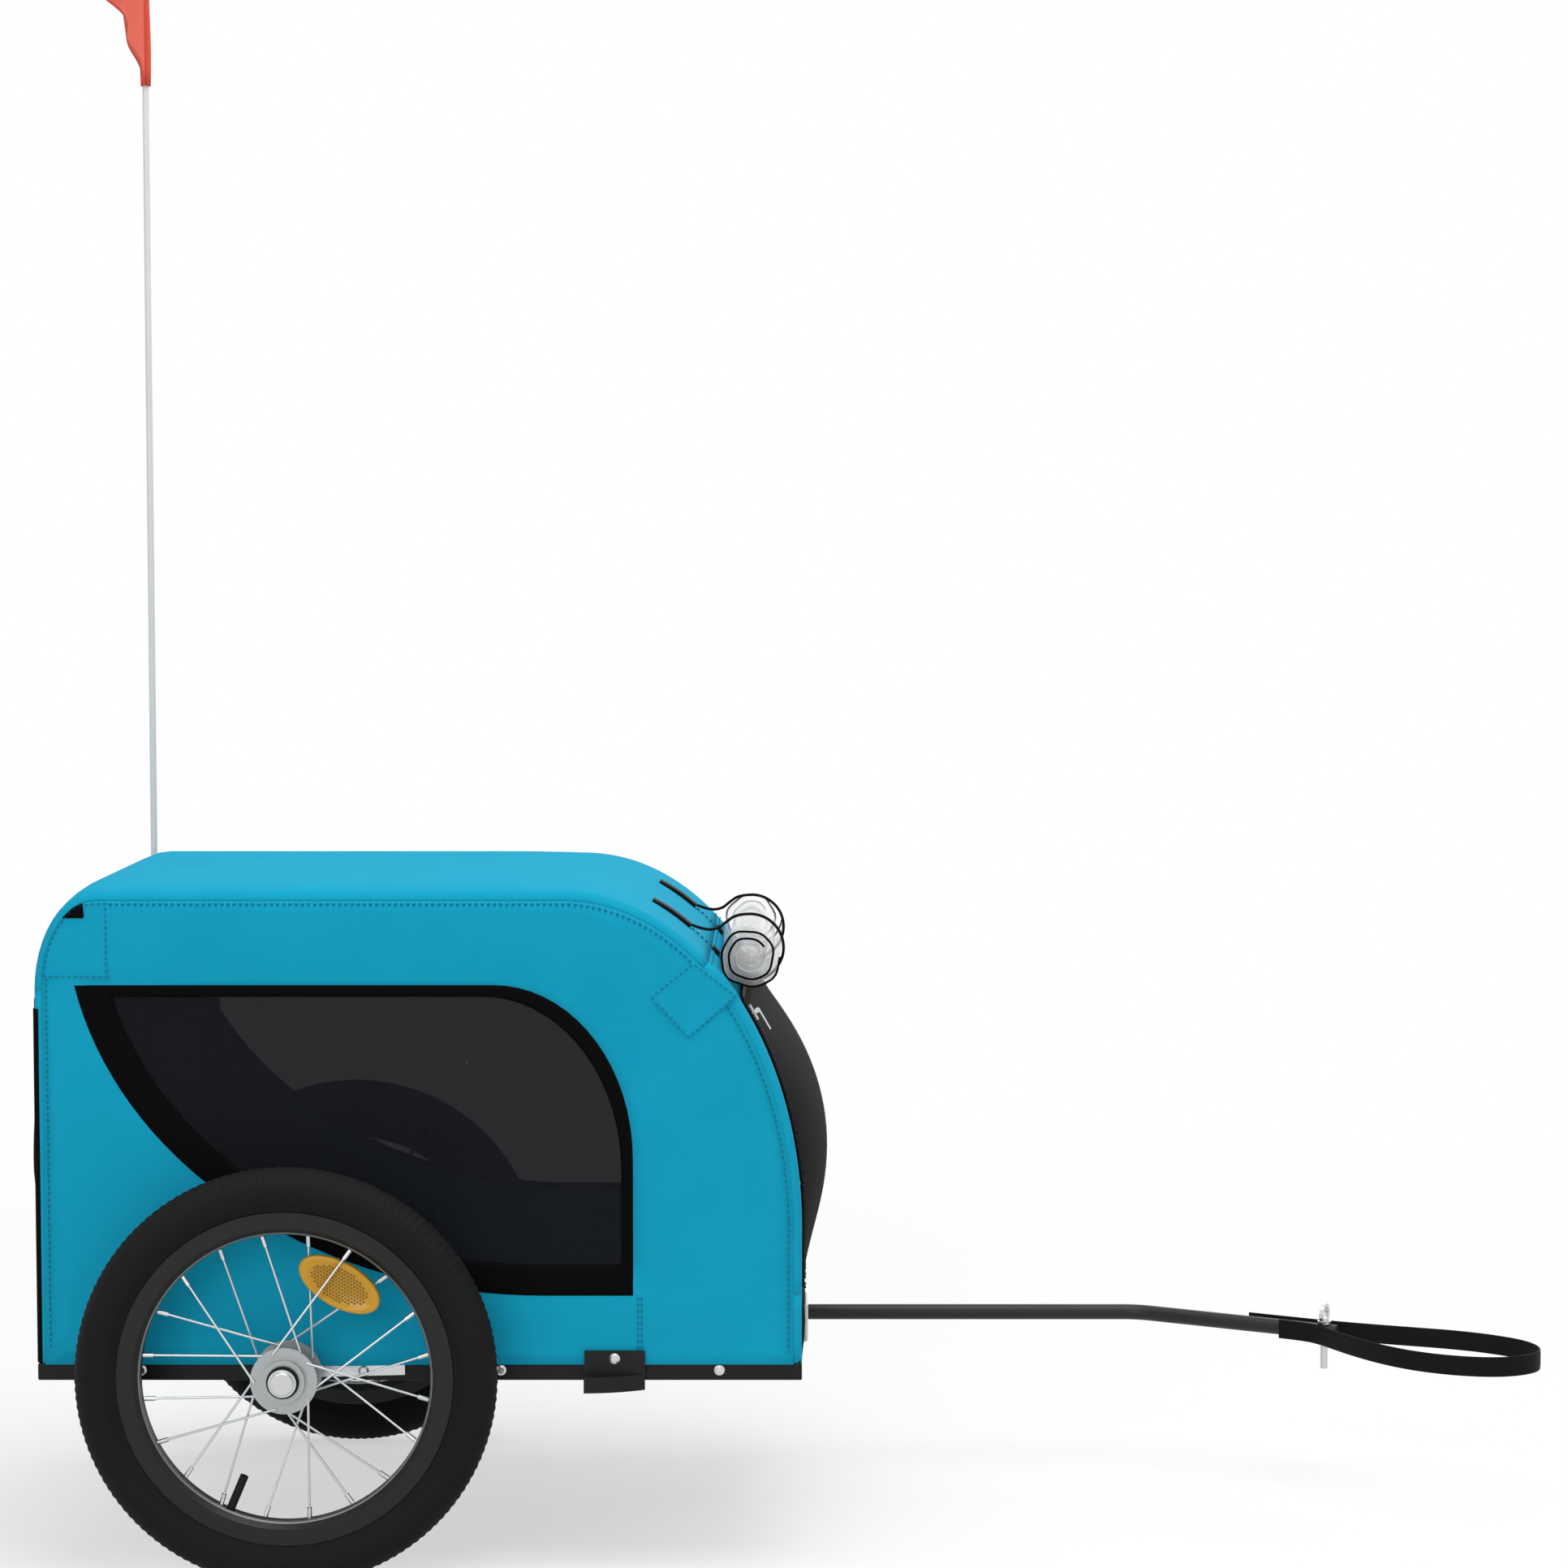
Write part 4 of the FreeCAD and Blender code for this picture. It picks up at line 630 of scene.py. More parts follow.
side_loop = []
for index, (x, z) in enumerate(outline):
    inset = outward(index) * -roll_over
    side_loop.append((x + inset.x, z + inset.z))
for end in (0, -1):
    side_loop[end] = (side_loop[end][0], foot_z)
window_edge = window_loop(0, 0, 0, 0)
border_edge = window_loop(*border_margins)
hole = window_loop(*hole_margins)
pinhole = [(window_centre[0] + pinhole_radius * math.cos(a), window_centre[1] + pinhole_radius * math.sin(a))
           for a in (0, 1.5, 3.0, 4.5)]
print("side outline", len(side_loop), "window", len(window_edge))

# %% Side panels, borders and nets
cloth_swell, side_thickness = 0.0025, 0.0012
border_rise, border_thickness = 0.0016, 0.001
net_depth, net_sag = 0.0008, 0.0012
bracket_x, bracket_reach, bracket_push, bracket_top, bracket_fade = -0.440, 0.055, 0.006, 0.240, 0.030
foot_push, foot_top, foot_fade = 0.0022, 0.212, 0.014


def flap(x, z):
    """How far the cloth's foot stands out: over the rail's edge, and further over the axle bracket."""
    near_bracket = math.exp(-((x - bracket_x) / bracket_reach) ** 2)
    over_bracket = bracket_push * near_bracket * ease((bracket_top - z) / bracket_fade)
    return over_bracket + foot_push * ease((foot_top - z) / foot_fade)


def swell_height(share, x, z):
    """Distance of the side cloth from the middle plane at a place and its share from window to edge."""
    return half_width + cloth_swell * math.sin(math.pi * share) + flap(x, z)


def side_height(x, z):
    """Distance of the side cloth from the middle plane at a place."""
    angle = centre_angle(x, z)
    first = math.dist(window_centre, ray_hit(angle, hole))
    last = math.dist(window_centre, ray_hit(angle, side_loop))
    share = (math.dist(window_centre, (x, z)) - first) / (last - first)
    return swell_height(min(max(share, 0.0), 1.0), x, z)


def border_height(share, x, z):
    """Distance of the window's border from the middle plane."""
    return side_height(x, z) + border_rise * math.sin(math.pi * share) ** 0.4


def net_height(share):
    """Distance of the window's net from the middle plane, at a share from its centre to its edge."""
    return half_width - net_depth - net_sag * (1 - share * share)


for side, sign in both_sides:
    side_rows = ring_rows(hole, side_loop, 9, lambda s, x, z: sign * swell_height(s, x, z))
    side_panel = panel("side_cloth_" + side, side_rows, blue_cloth, around=True,
                       face_way=lambda spot: Vector((0, sign, 0)), node="side_cover_" + side,
                       thickness=side_thickness, folds=True)
    loop_area(side_loop) - loop_area(hole)
    border_rows = ring_rows(border_edge, window_edge, 7, lambda s, x, z: sign * border_height(s, x, z))
    panel("window_border_" + side, border_rows, black_cloth, around=True,
          face_way=lambda spot: Vector((0, sign, 0)), node="window_trim_" + side, thickness=border_thickness,
          folds=True)
    net_rows = ring_rows(pinhole, hole, 10, lambda s, x, z: sign * net_height(s))
    net = panel("window_net_" + side, net_rows, window_net, around=True, node="window_mesh_" + side,
                folds=True)
    loop_area(hole)
    print(side, "panel area", round(loop_area(side_loop), 4))

# %% [markdown]
# ## Patches and stitching
# Cloth patches guard the corners where the hoops press. Stitches are small raised threads in a row: real
# geometry, so they catch the light at any angle.

# %% Patches and stitches
stitch_pitch, stitch_length, stitch_thick = 0.0058, 0.0036, 0.0007
patch_thick, wedge_thick = 0.0012, 0.0022
patch_shares, patch_seam_share = (0.0, 0.3, 0.6, 0.9, 0.98, 1.0), 0.93
edge_seam_share, edge_seam_lift, stitch_lift = 0.012, 0.0004, 0.0002
front_seam_x, front_seam_z = (-0.1605, -0.1570), (0.262, 0.241, 0.220, 0.200)


def patch_loop(corners, radius):
    """A rounded outline through corner points."""
    loop = []
    for i, here in enumerate(corners):
        before, after = Vector(corners[i - 1]), Vector(corners[(i + 1) % len(corners)])
        spot = Vector(here)
        start = spot + (before - spot).normalized() * radius
        end = spot + (after - spot).normalized() * radius
        for s in shares(5):
            loop.append(tuple(start * (1 - s) ** 2 + spot * 2 * s * (1 - s) + end * s ** 2))
    return loop


def shrunk(loop, share):
    """An outline drawn in towards its middle."""
    middle = (sum(x for x, z in loop) / len(loop), sum(z for x, z in loop) / len(loop))
    return [(mix(middle[0], x, share), mix(middle[1], z, share)) for x, z in loop]


def on_side(sign, spots, rise):
    """Points that lie a little way outside the side cloth."""
    return [Vector((x, sign * (side_height(x, z) + rise), z)) for x, z in spots]


def stitch_row(points, push):
    """Points and faces of a row of raised stitches along a line; push is the direction they stand out."""
    verts, faces = [], []
    travel, target = 0.0, stitch_pitch / 2
    for a, b in zip(points, points[1:]):
        span = (b - a).length
        while span > 0 and target <= travel + span:
            way = (b - a).normalized()
            here = a + way * (target - travel)
            over = way.cross(push).normalized() * stitch_thick
            n = len(verts)
            for along, out in ((-0.5, 0.0), (-0.2, 1.0), (0.2, 1.0), (0.5, 0.0)):
                spot = here + way * stitch_length * along + push * stitch_thick * out * 1.4
                verts += [spot + over * edge * (0.4 + 0.6 * out) for edge in (-1, 1)]
            faces += [(n + k, n + k + 1, n + k + 3, n + k + 2) for k in (0, 2, 4)]
            faces += [(n, n + 6, n + 7, n + 1), (n, n + 2, n + 4, n + 6), (n + 1, n + 7, n + 5, n + 3)]
            target += stitch_pitch
        travel += span
    return verts, faces


def stitches(name, lines, push, finish=blue_thread):
    """One piece made of several rows of stitches."""
    verts, faces = [], []
    for points in lines:
        more, links = stitch_row(points, push)
        faces += [tuple(n + len(verts) for n in face) for face in links]
        verts += more
    return place(name, mesh_from(name, verts, faces), finish, folds=True)


patch_front_x, patch_low_z = -0.655, 0.561
rear_patch = [(x, z) for x, z in side_loop if x < patch_front_x and z > patch_low_z]
rear_patch = [(rear_patch[0][0], patch_low_z)] + rear_patch + [(patch_front_x, rear_patch[-1][1])]
rear_patch.append((patch_front_x, patch_low_z))
front_patch = patch_loop([(-0.1500, 0.5450), (-0.1080, 0.5790), (-0.0650, 0.5460), (-0.1130, 0.5040)], 0.004)
black_wedge = patch_loop([(-0.6990, 0.6190), (-0.6778, 0.6190), (-0.6790, 0.6335), (-0.6890, 0.6285)], 0.002)
edge_seam = [(mix(x, window_centre[0], edge_seam_share), mix(z, window_centre[1], edge_seam_share))
             for x, z in side_loop]
for side, sign in both_sides:
    seams = []
    for label, loop, finish, thick in (("rear", rear_patch, blue_cloth, patch_thick),
                                       ("front", front_patch, blue_cloth, patch_thick),
                                       ("wedge", black_wedge, black_cloth, wedge_thick)):
        rows = [on_side(sign, shrunk(loop, s), thick if s < 1 else 0.0) for s in patch_shares]
        panel("corner_patch_" + label + "_" + side, rows, finish, around=True, node="corner_patches",
              folds=True)
        if label != "wedge":
            seam = on_side(sign, shrunk(loop, patch_seam_share), thick)
            seams.append(seam + seam[:1])
    seams.append([Vector((x, sign * (half_width + edge_seam_lift), z)) for x, z in edge_seam])
    for x in front_seam_x:
        seams.append(on_side(sign, [(x, z) for z in front_seam_z], stitch_lift))
    stitched = stitches("stitching_" + side, seams, Vector((0, sign, 0)))
    print(stitched.name, "faces", len(stitched.data.polygons))

roof_seam = []
for step in (-1, 1):
    row = []
    for y in across_steps[4:-4]:
        beside = wrap_point(nose_seam + step, y, stitch_lift)
        row.append(beside.lerp(wrap_point(nose_seam, y, stitch_lift), 0.75))
    roof_seam.append(row)
stitches("roof_seam_stitches", roof_seam, outward(nose_seam))

# %% [markdown]
# ## Mesh door, its zip and the panel and pocket behind
# The door is a net that bulges between its zipped sides. A dark binding with a row of zip teeth runs along
# its sides and top. A dark panel covers most of the rear wall, and a net pocket hangs on it.

# %% Door
door_half, door_low, door_high = 0.195, 0.265, 0.536
door_gap, door_proud, door_bulge = 0.0004, 0.003, 0.026
net_thickness, door_flat, door_hem_share = 0.0008, (0.41, 0.31), 0.022
binding_half, door_hem_half, binding_lift, binding_rise = 0.006, 0.005, 0.0009, 0.0011
tooth_pitch, tooth_shift, tooth_lift = 0.0032, -0.0045, 0.0024
tooth_half, tooth_wide, tooth_high = 0.0009, 0.0018, 0.0012


def door_point(u, v):
    """A point of the door: u from -1 to 1 across it and v from 0 at its foot to 1 at its top."""
    z = mix(door_low, door_high, v)
    angle = nose_angle(z)
    x = front_x if z < nose_centre[1] else nose(angle)[0]
    rise = door_gap + 4 * v * (1 - v) * (door_proud * (1 - u ** 8) + door_bulge * (1 - u * u))
    return Vector((x, u * door_half, z)) + nose_normal(angle) * rise


def edge_up(here):
    """The direction that a binding faces at a point of the door's edge."""
    return nose_normal(nose_angle(min(max(here.z, nose_centre[1]), door_high)))


def binding(name, points, half_size):
    """A soft rounded band along a line on the door."""
    rows = []
    for i, here in enumerate(points):
        up = edge_up(here)
        out = heading(points, i).cross(up).normalized()
        rows.append(oval(here + up * binding_lift, out * half_size, up * binding_rise, 10))
    return panel(name, rows, black_cloth, "front_door", around=True, folds=True)


def teeth(name, points):
    """A row of zip teeth beside a line on the door's edge."""
    verts, faces = [], []
    for start, end in zip(points, points[1:]):
        way = (end - start).normalized()
        up = edge_up(start)
        out = way.cross(up).normalized()
        for k in range(max(int((end - start).length / tooth_pitch), 1)):
            base = start + way * (tooth_pitch * k) + out * tooth_shift + up * tooth_lift
            first = len(verts)
            verts += [base + way * a + out * b + up * c for a in (-tooth_half, tooth_half)
                      for b in (-tooth_wide, tooth_wide) for c in (0.0, tooth_high)]
            for face in ((0, 1, 3, 2), (4, 6, 7, 5), (0, 4, 5, 1), (2, 3, 7, 6), (1, 5, 7, 3), (0, 2, 6, 4)):
                faces.append(tuple(first + n for n in face))
    return place(name, mesh_from(name, verts, faces), moulded_black, "front_door", folds=True, smooth=False)


door_rows = [[door_point(2 * u - 1, v) for u in shares(41)] for v in shares(33)]
door = panel("door_net", door_rows, door_net, "front_door", node="front_door", thickness=net_thickness,
             offset=1.0, folds=True)
edge_route = [door_point(-1, v) for v in shares(30)] + [door_point(2 * u - 1, 1) for u in shares(30)][1:]
edge_route += [door_point(1, 1 - v) for v in shares(30)][1:]
binding("door_binding", edge_route, binding_half)
binding("door_hem", [door_point(2 * u - 1, door_hem_share) for u in shares(20)], door_hem_half)
teeth("door_teeth", edge_route)
print("door edge points", len(edge_route))

# %% Zip slider
def softened(node, finish, bevel, body="base", folds=False, shift=(0, 0, 0)):
    """A copy of a CAD node with rounded edges that stands for it, moved by a small shift."""
    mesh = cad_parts[node].data.copy()
    mesh.transform(Matrix.Translation(shift))
    piece = place(node + "_piece", mesh, finish, body, node=node, smooth=False)
    weld = bmesh.new()
    weld.from_mesh(mesh)
    bmesh.ops.remove_doubles(weld, verts=weld.verts, dist=1e-6)
    bmesh.ops.dissolve_limit(weld, angle_limit=math.radians(2), verts=weld.verts, edges=weld.edges)
    weld.to_mesh(mesh)
    weld.free()
    rounding = piece.modifiers.new("rounded edges", "BEVEL")
    rounding.width = bevel
    rounding.segments = 2
    rounding.limit_method = "ANGLE"
    rounding.angle_limit = math.radians(40)
    if folds:
        folds_down(piece)
    return piece


slider_z, slider_out = 0.530, 0.003
slider_shift = nose_normal(nose_angle(slider_z)) * slider_out
softened("zipper_slider", bright_steel, 0.0006, "front_door", folds=True, shift=slider_shift)
softened("zipper_pull", bright_steel, 0.0003, "zipper_pull", folds=True, shift=slider_shift)

# %% Rear panel and pocket
pocket_half, pocket_low, pocket_high = 0.190, 0.345, 0.533
pocket_out, pocket_belly, pocket_sag = 0.0034, 0.0125, 0.006
pocket_hem_thick, pocket_hem_half = 0.0012, 0.007
back_lift, back_inset = 0.0016, 0.0004
back_top = next(i for i, (x, z) in enumerate(outline) if z >= pocket_high)
back_panel = wrap_panel("rear_panel_cloth", 0, back_top, black_cloth,
                        keep=lambda i, j: abs(face_y(j)) < half_width - back_inset, lift=back_lift)
pocket_rows = []
for v in shares(15):
    row = []
    for u in shares(49):
        across = 2 * u - 1
        full = (1 - abs(across) ** 16) ** 0.5
        belly = pocket_belly * full * (1 - (1 - v) ** 6) ** 0.5 * (1 - 0.6 * ease(v / 0.7))
        sag = pocket_sag * (1 - across ** 2) * v
        row.append(Vector((rear_x - pocket_out - belly, across * pocket_half,
                           mix(pocket_low, pocket_high, v) - sag)))
    pocket_rows.append(row)
pocket = panel("rear_pocket_net", pocket_rows, door_net, node="rear_pocket", thickness=net_thickness,
               offset=0.0, folds=True)
hem_rows = bar_along(pocket_rows[-1], pocket_hem_thick, pocket_hem_half)
panel("pocket_hem", hem_rows, black_cloth, around=True, folds=True)
print("pocket", pocket.name)

# %% [markdown]
# ## Rolled rain cover
# A clear film is rolled up above the door. Its section is a spiral, and a small ripple in the radius keeps it
# from looking machined. Black binding runs along both ends of the film, so it shows as a spiral too.

# %% Roll
roll_centre = (-0.0560, 0.5781)
roll_outer, roll_core, roll_turns = 0.0302, 0.0090, 3
roll_half, film_thickness = 0.185, 0.0007
piping_radius, piping_from = 0.0011, 0.36
long_ripple, short_ripple = 0.0010, 0.0006
spiral_steps = shares(roll_turns * 32 + 1)


def spiral(share, y):
    """A point of the rolled film; share runs from its core to its free end."""
    turn = 2 * math.pi * roll_turns * share
    ripple = long_ripple * math.sin(4 * turn + 0.6 + 9 * y) + short_ripple * math.sin(7 * turn - 31 * y)
    radius = mix(roll_core, roll_outer, share) + ripple * share
    return Vector((roll_centre[0] + radius * math.cos(turn), y, roll_centre[1] + radius * math.sin(turn)))


film_rows = [[spiral(s, mix(-roll_half, roll_half, u)) for u in shares(33)] for s in spiral_steps]
film = panel("rain_cover_film", film_rows, clear_film, node="rain_cover_roll", thickness=film_thickness,
             offset=0.0, folds=True)
for side, sign in both_sides:
    piping_rows = []
    for s in spiral_steps:
        if s >= piping_from:
            middle = spiral(s, sign * roll_half)
            out = Vector((middle.x - roll_centre[0], 0, middle.z - roll_centre[1])).normalized()
            piping_rows.append(oval(middle, out * piping_radius, Vector((0, piping_radius, 0)), 8))
    panel("film_piping_" + side, piping_rows, black_cloth, around=True, folds=True)

# %% Webbing tabs that hold the cords
tab_first, tab_last, foot_first, foot_last = 21.3, 31.2, 37.5, 39.5
tab_half, tab_lift, tab_arch, tab_thickness = 0.010, 0.0020, 0.0003, 0.0030
foot_lift, foot_thickness = 0.0022, 0.0018
seam_shadow_angles, seam_shadow_facing, seam_shadow_lift = (31.5, 33.5, 35.5, 37.3), 34.5, 0.0004


def tab_rows(y, first, last, count, lift, arch=0.0):
    """Rows of a strip of webbing on the nose between two nose angles."""
    rows = []
    for s in shares(count):
        x, z = nose(mix(first, last, s), lift + arch * math.sin(math.pi * s))
        rows.append([Vector((x, y + tab_half * (2 * u - 1), z)) for u in shares(6)])
    return rows


for side, sign in both_sides:
    y = sign * cord_side
    panel("roll_tab_" + side, tab_rows(y, tab_first, tab_last, 10, tab_lift, tab_arch), webbing,
          node="roll_straps", thickness=tab_thickness, offset=0.0, folds=True)
    panel("roll_foot_tab_" + side, tab_rows(y, foot_first, foot_last, 5, foot_lift), webbing,
          thickness=foot_thickness, offset=0.0, folds=True)
    # A row of black stitches runs from each tab towards the roll's foot: a seam, with its black colour
    # standing for painted shadow under the cord.
    seam_shadow_line = [Vector((x, y, z)) for x, z in [nose(a, seam_shadow_lift) for a in seam_shadow_angles]]
    seam = stitches("roll_seam_shadow_" + side, [seam_shadow_line], nose_normal(seam_shadow_facing), black_cloth)
    print(seam.name)

# %% [markdown]
# ## Hems at the floor
# The cover's foot is sewn to narrow hems that lie on the floor panel's edges and close the gap beside them.

# %% Floor hems
floor_low, floor_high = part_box("floor_panel")
hem_over, hem_gap, hem_thickness = 0.008, 0.0015, 0.0008
hem_foot_lift, hem_floor_lift = 0.0003, 0.0007
hem_rear, hem_front = floor_low.x + hem_over, floor_high.x - hem_over
foot_half = half_width - hem_gap
hem_foot_z, hem_floor_z = rail_z + hem_foot_lift, floor_high.z + hem_floor_lift
for name, sideways, outside, knee, inside, first, last in (
        ("rear", False, rear_x + hem_gap, floor_low.x, hem_rear, -foot_half, foot_half),
        ("front", False, front_x - hem_gap, floor_high.x, hem_front, -foot_half, foot_half),
        ("right", True, -foot_half, floor_low.y, floor_low.y + hem_over, hem_rear, hem_front),
        ("left", True, foot_half, floor_high.y, floor_high.y - hem_over, hem_rear, hem_front)):
    rows = []
    for across, z in ((outside, hem_foot_z), (knee, hem_floor_z), (inside, hem_floor_z)):
        along = [mix(first, last, s) for s in shares(9)]
        rows.append([Vector((a, across, z)) if sideways else Vector((across, a, z)) for a in along])
    hem = panel("floor_hem_" + name, rows, black_cloth, face_way=lambda spot: upwards,
                thickness=hem_thickness, offset=0.0)

# %% [markdown]
# ## Floor pad
# The pad inside is seen only through the net and the open door. It starts as a block with soft edges, a
# little smaller than its room. A short cloth simulation with air pressure swells it, and then sewn channels
# are pressed into its top.

# %% Pad
pad_low, pad_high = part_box("floor_pad")
pad_size = pad_high - pad_low
pad_channel = 0.105
pad_swell = 0.005
pad_voxel, pad_frames, pad_pressure = 0.006, 20, 4.0


def pad_rim(u, v):
    """1 over most of the pad and 0 at its rim; u and v run from 0 to 1."""
    return max((1 - abs(2 * u - 1) ** 16) * (1 - abs(2 * v - 1) ** 16), 0.0) ** 0.4


def pad_seam(x, y):
    """1 between the sewn channels and less along them."""
    seam_x = abs(math.sin(math.pi * (x - pad_low.x) / pad_channel))
    seam_y = abs(math.sin(math.pi * (y - pad_low.y) / pad_channel))
    return 0.45 + 0.55 * min(seam_x, seam_y) ** 0.5


def shape_after(piece):
    """The mesh that a piece's modifiers make."""
    bpy.context.view_layer.update()
    return bpy.data.meshes.new_from_object(piece.evaluated_get(bpy.context.evaluated_depsgraph_get()))


def swollen(mesh):
    """A closed mesh swollen by a short cloth simulation, with each point's move capped."""
    puff = bpy.data.objects.new("swelling", mesh)
    bpy.context.scene.collection.objects.link(puff)
    remesh = puff.modifiers.new("voxels", "REMESH")
    remesh.mode = "VOXEL"
    remesh.voxel_size = pad_voxel
    puff.data = shape_after(puff)
    puff.modifiers.clear()
    before = [v.co.copy() for v in puff.data.vertices]
    cloth = puff.modifiers.new("air", "CLOTH")
    cloth.settings.use_pressure = True
    cloth.settings.uniform_pressure_force = pad_pressure
    cloth.settings.effector_weights.gravity = 0.0
    for number_of_frame in range(1, pad_frames + 1):
        bpy.context.scene.frame_set(number_of_frame)
    puff.data = shape_after(puff)
    puff.modifiers.clear()
    bpy.context.scene.frame_set(1)
    for vertex, start in zip(puff.data.vertices, before):
        move = vertex.co - start
        vertex.co = start + move * min(1.0, pad_swell / max(move.length, 1e-9))
    puff.modifiers.new("smooth", "SUBSURF").levels = 1
    result = shape_after(puff)
    bpy.data.objects.remove(puff)
    return result


pad_rows = []
for u in shares(140):
    row = []
    for v in shares(84):
        x = pad_low.x + pad_swell + (pad_size.x - 2 * pad_swell) * u
        y = pad_low.y + pad_swell + (pad_size.y - 2 * pad_swell) * v
        row.append(Vector((x, y, pad_low.z + (pad_size.z - pad_swell) * (0.25 + 0.75 * pad_rim(u, v)))))
    pad_rows.append(row)
pad_mesh = grid_mesh("pad", pad_rows)
pad_form = bmesh.new()
pad_form.from_mesh(pad_mesh)
skirt = bmesh.ops.extrude_edge_only(pad_form, edges=[e for e in pad_form.edges if e.is_boundary])
for element in skirt["geom"]:
    if isinstance(element, bmesh.types.BMVert):
        element.co.z = pad_low.z
bmesh.ops.contextual_create(pad_form, geom=[e for e in pad_form.edges if e.is_boundary])
bmesh.ops.recalc_face_normals(pad_form, faces=pad_form.faces)
pad_form.to_mesh(pad_mesh)
pad_form.free()
pad_mesh = swollen(pad_mesh)
for vertex in pad_mesh.vertices:
    spot = Vector([min(max(c, low), high) for c, low, high in zip(vertex.co, pad_low, pad_high)])
    spot.z = mix(pad_low.z, spot.z, pad_seam(spot.x, spot.y))
    vertex.co = spot
pad = place("floor_pad_cushion", pad_mesh, pad_cloth, node="floor_pad")
print("pad points", len(pad.data.vertices))

# %% [markdown]
# ## Wheels
# The tyre is a ring section swept round the axle: a rounded carcass with low tread blocks and a moulded line
# on each wall. The rim, hub and spokes keep their CAD shape and get their finish. A thin bare line is added
# at the rim's inner edge.

# %% Tyres
axle_x, axle_z, wheel_y = -0.485, 0.197, 0.280
tyre_radius, tyre_half = 0.197, 0.022
tyre_middle = tyre_radius - tyre_half
tread_count, tread_depth, wall_line = 150, 0.0006, 0.0005
bead = [(0.1515, 0.0096), (0.1555, 0.0098)]
rim_section = ((0.1347, 0.0040), (0.1346, 0.0064), (0.1362, 0.0074), (0.1374, 0.0078), (0.1368, 0.0060))


def tyre_section(block):
    """Points (radius, y) of the tyre's outside from bead to bead, on a tread block or in a gap."""
    section = [(r, -y) for r, y in bead]
    for a in range(-124, 125, 8):
        turn = math.radians(a)
        depth = 0.0
        if abs(a) <= 64 and (not block or abs(a) in (16, 40)):
            depth = tread_depth
        if abs(a) in (96, 104):
            depth = -wall_line
        reach = tyre_half - tread_depth - depth
        section.append((tyre_middle + reach * math.cos(turn), reach * math.sin(turn)))
    return section + bead[::-1]


def spun(middle_y, sections):
    """Rows of points (radius, y) turned round the axle, one section for each step."""
    rows = []
    for turn, section in zip(turns(len(sections)), sections):
        across, up = math.cos(turn), math.sin(turn)
        rows.append([Vector((axle_x + r * across, middle_y + y, axle_z + r * up)) for r, y in section])
    return rows


gap_section, block_section = tyre_section(False), tyre_section(True)
tread = [gap_section, block_section, block_section, gap_section] * tread_count
for side, sign in both_sides:
    tyre = panel("tyre_piece_" + side, spun(sign * wheel_y, tread), tyre_rubber, side + "_wheel", closed=True,
                 node="tyre_" + side)
    rim_rows = spun(sign * wheel_y, [[(r, sign * y) for r, y in rim_section]] * 120)
    rim_line = panel("rim_edge_" + side, rim_rows, rim_edge, side + "_wheel", around=True, closed=True)
    print(tyre.name, len(tyre.data.polygons), rim_line.name)

# %% Amber reflectors in the spokes
reflector_angle, reflector_radius = 60.0, 0.100
reflector_long, reflector_tall, reflector_thick = 0.0415, 0.0210, 0.0025
reflector_field, field_edge = 0.78, 0.80
reflector_section = ((1.0, -1.0), (1.0, -0.7), (1.0, 0.4), (0.965, 0.85), (0.92, 1.0), (0.80, 1.0),
                     (0.785, 0.8), (0.0, 0.8))
prism_long, prism_tall = 0.0017, 0.0015
reflector_turn = math.radians(reflector_angle)
tangent = Vector((-math.sin(reflector_turn), 0, math.cos(reflector_turn)))
radial = Vector((math.cos(reflector_turn), 0, math.sin(reflector_turn)))
long_way, tall_way = tangent * reflector_long, radial * reflector_tall
for side, sign in both_sides:
    middle = Vector((axle_x, sign * wheel_y, axle_z)) + radial * reflector_radius
    out_way = Vector((0, sign * reflector_thick, 0))
    rows = [oval(middle + out_way * out, long_way * share, tall_way * share, 48)
            for share, out in reflector_section]
    lens = panel("spoke_reflector_" + side + "_piece", rows, amber_lens, side + "_wheel", around=True,
                 node="spoke_reflector_" + side)
    cells, faces = [], []
    for i in range(-9, 10):
        for j in range(-5, 6):
            a = (i + 0.5 * (j % 2)) / 10
            b = j / 6
            if a * a + b * b > field_edge:
                continue
            first = len(cells)
            spot = middle + long_way * reflector_field * a + tall_way * reflector_field * b
            cells += oval(spot + out_way * reflector_field, tangent * prism_long, radial * prism_tall, 6)
            cells.append(spot + out_way)
            faces += [(first + k, first + (k + 1) % 6, first + 6) for k in range(6)]
    prisms = place("reflector_prisms_" + side, mesh_from("reflector_prisms", cells, faces), amber_core,
                   side + "_wheel", smooth=False)
    print(lens.name, prisms.name, len(prisms.data.polygons))

# %% [markdown]
# ## Tow strap and flag
# The safety strap is woven webbing that stands on edge. Its line is a NURBS curve led by given points,
# the same loop that the CAD solid has. The flag is a thin sheet with soft ripples.

# %% Safety strap
bar_bend, bar_length = 28.0, 0.222
bar_start = Vector((0.350, 0.185, 0.160))
strap_width, strap_thick, strap_steps = 0.020, 0.0020, 8
strap_reach, strap_gap, left_swell, right_swell = 0.2213, 0.0093, 0.015, 0.090
strap_left = ((-0.45, 0), (-0.27, 0), (-0.09, 0), (0.11, 0.2), (0.32, 0.6), (0.52, 1), (0.7, 0.93),
              (0.88, 0.2))
strap_right = ((0.98, 0.13), (1, 0.4), (0.95, 0.68), (0.85, 0.89), (0.69, 1), (0.52, 0.99), (0.37, 0.88),
               (0.22, 0.69), (0.08, 0.46), (-0.04, 0.23))
bend_turn = math.radians(bar_bend)
bar_way = Vector((math.cos(bend_turn), -math.sin(bend_turn), 0))
bar_left = Vector((math.sin(bend_turn), math.cos(bend_turn), 0))
bar_end = bar_start + bar_way * bar_length
strap_knots = [bar_end + bar_way * strap_reach * a + bar_left * (strap_gap + left_swell * s)
               for a, s in strap_left]
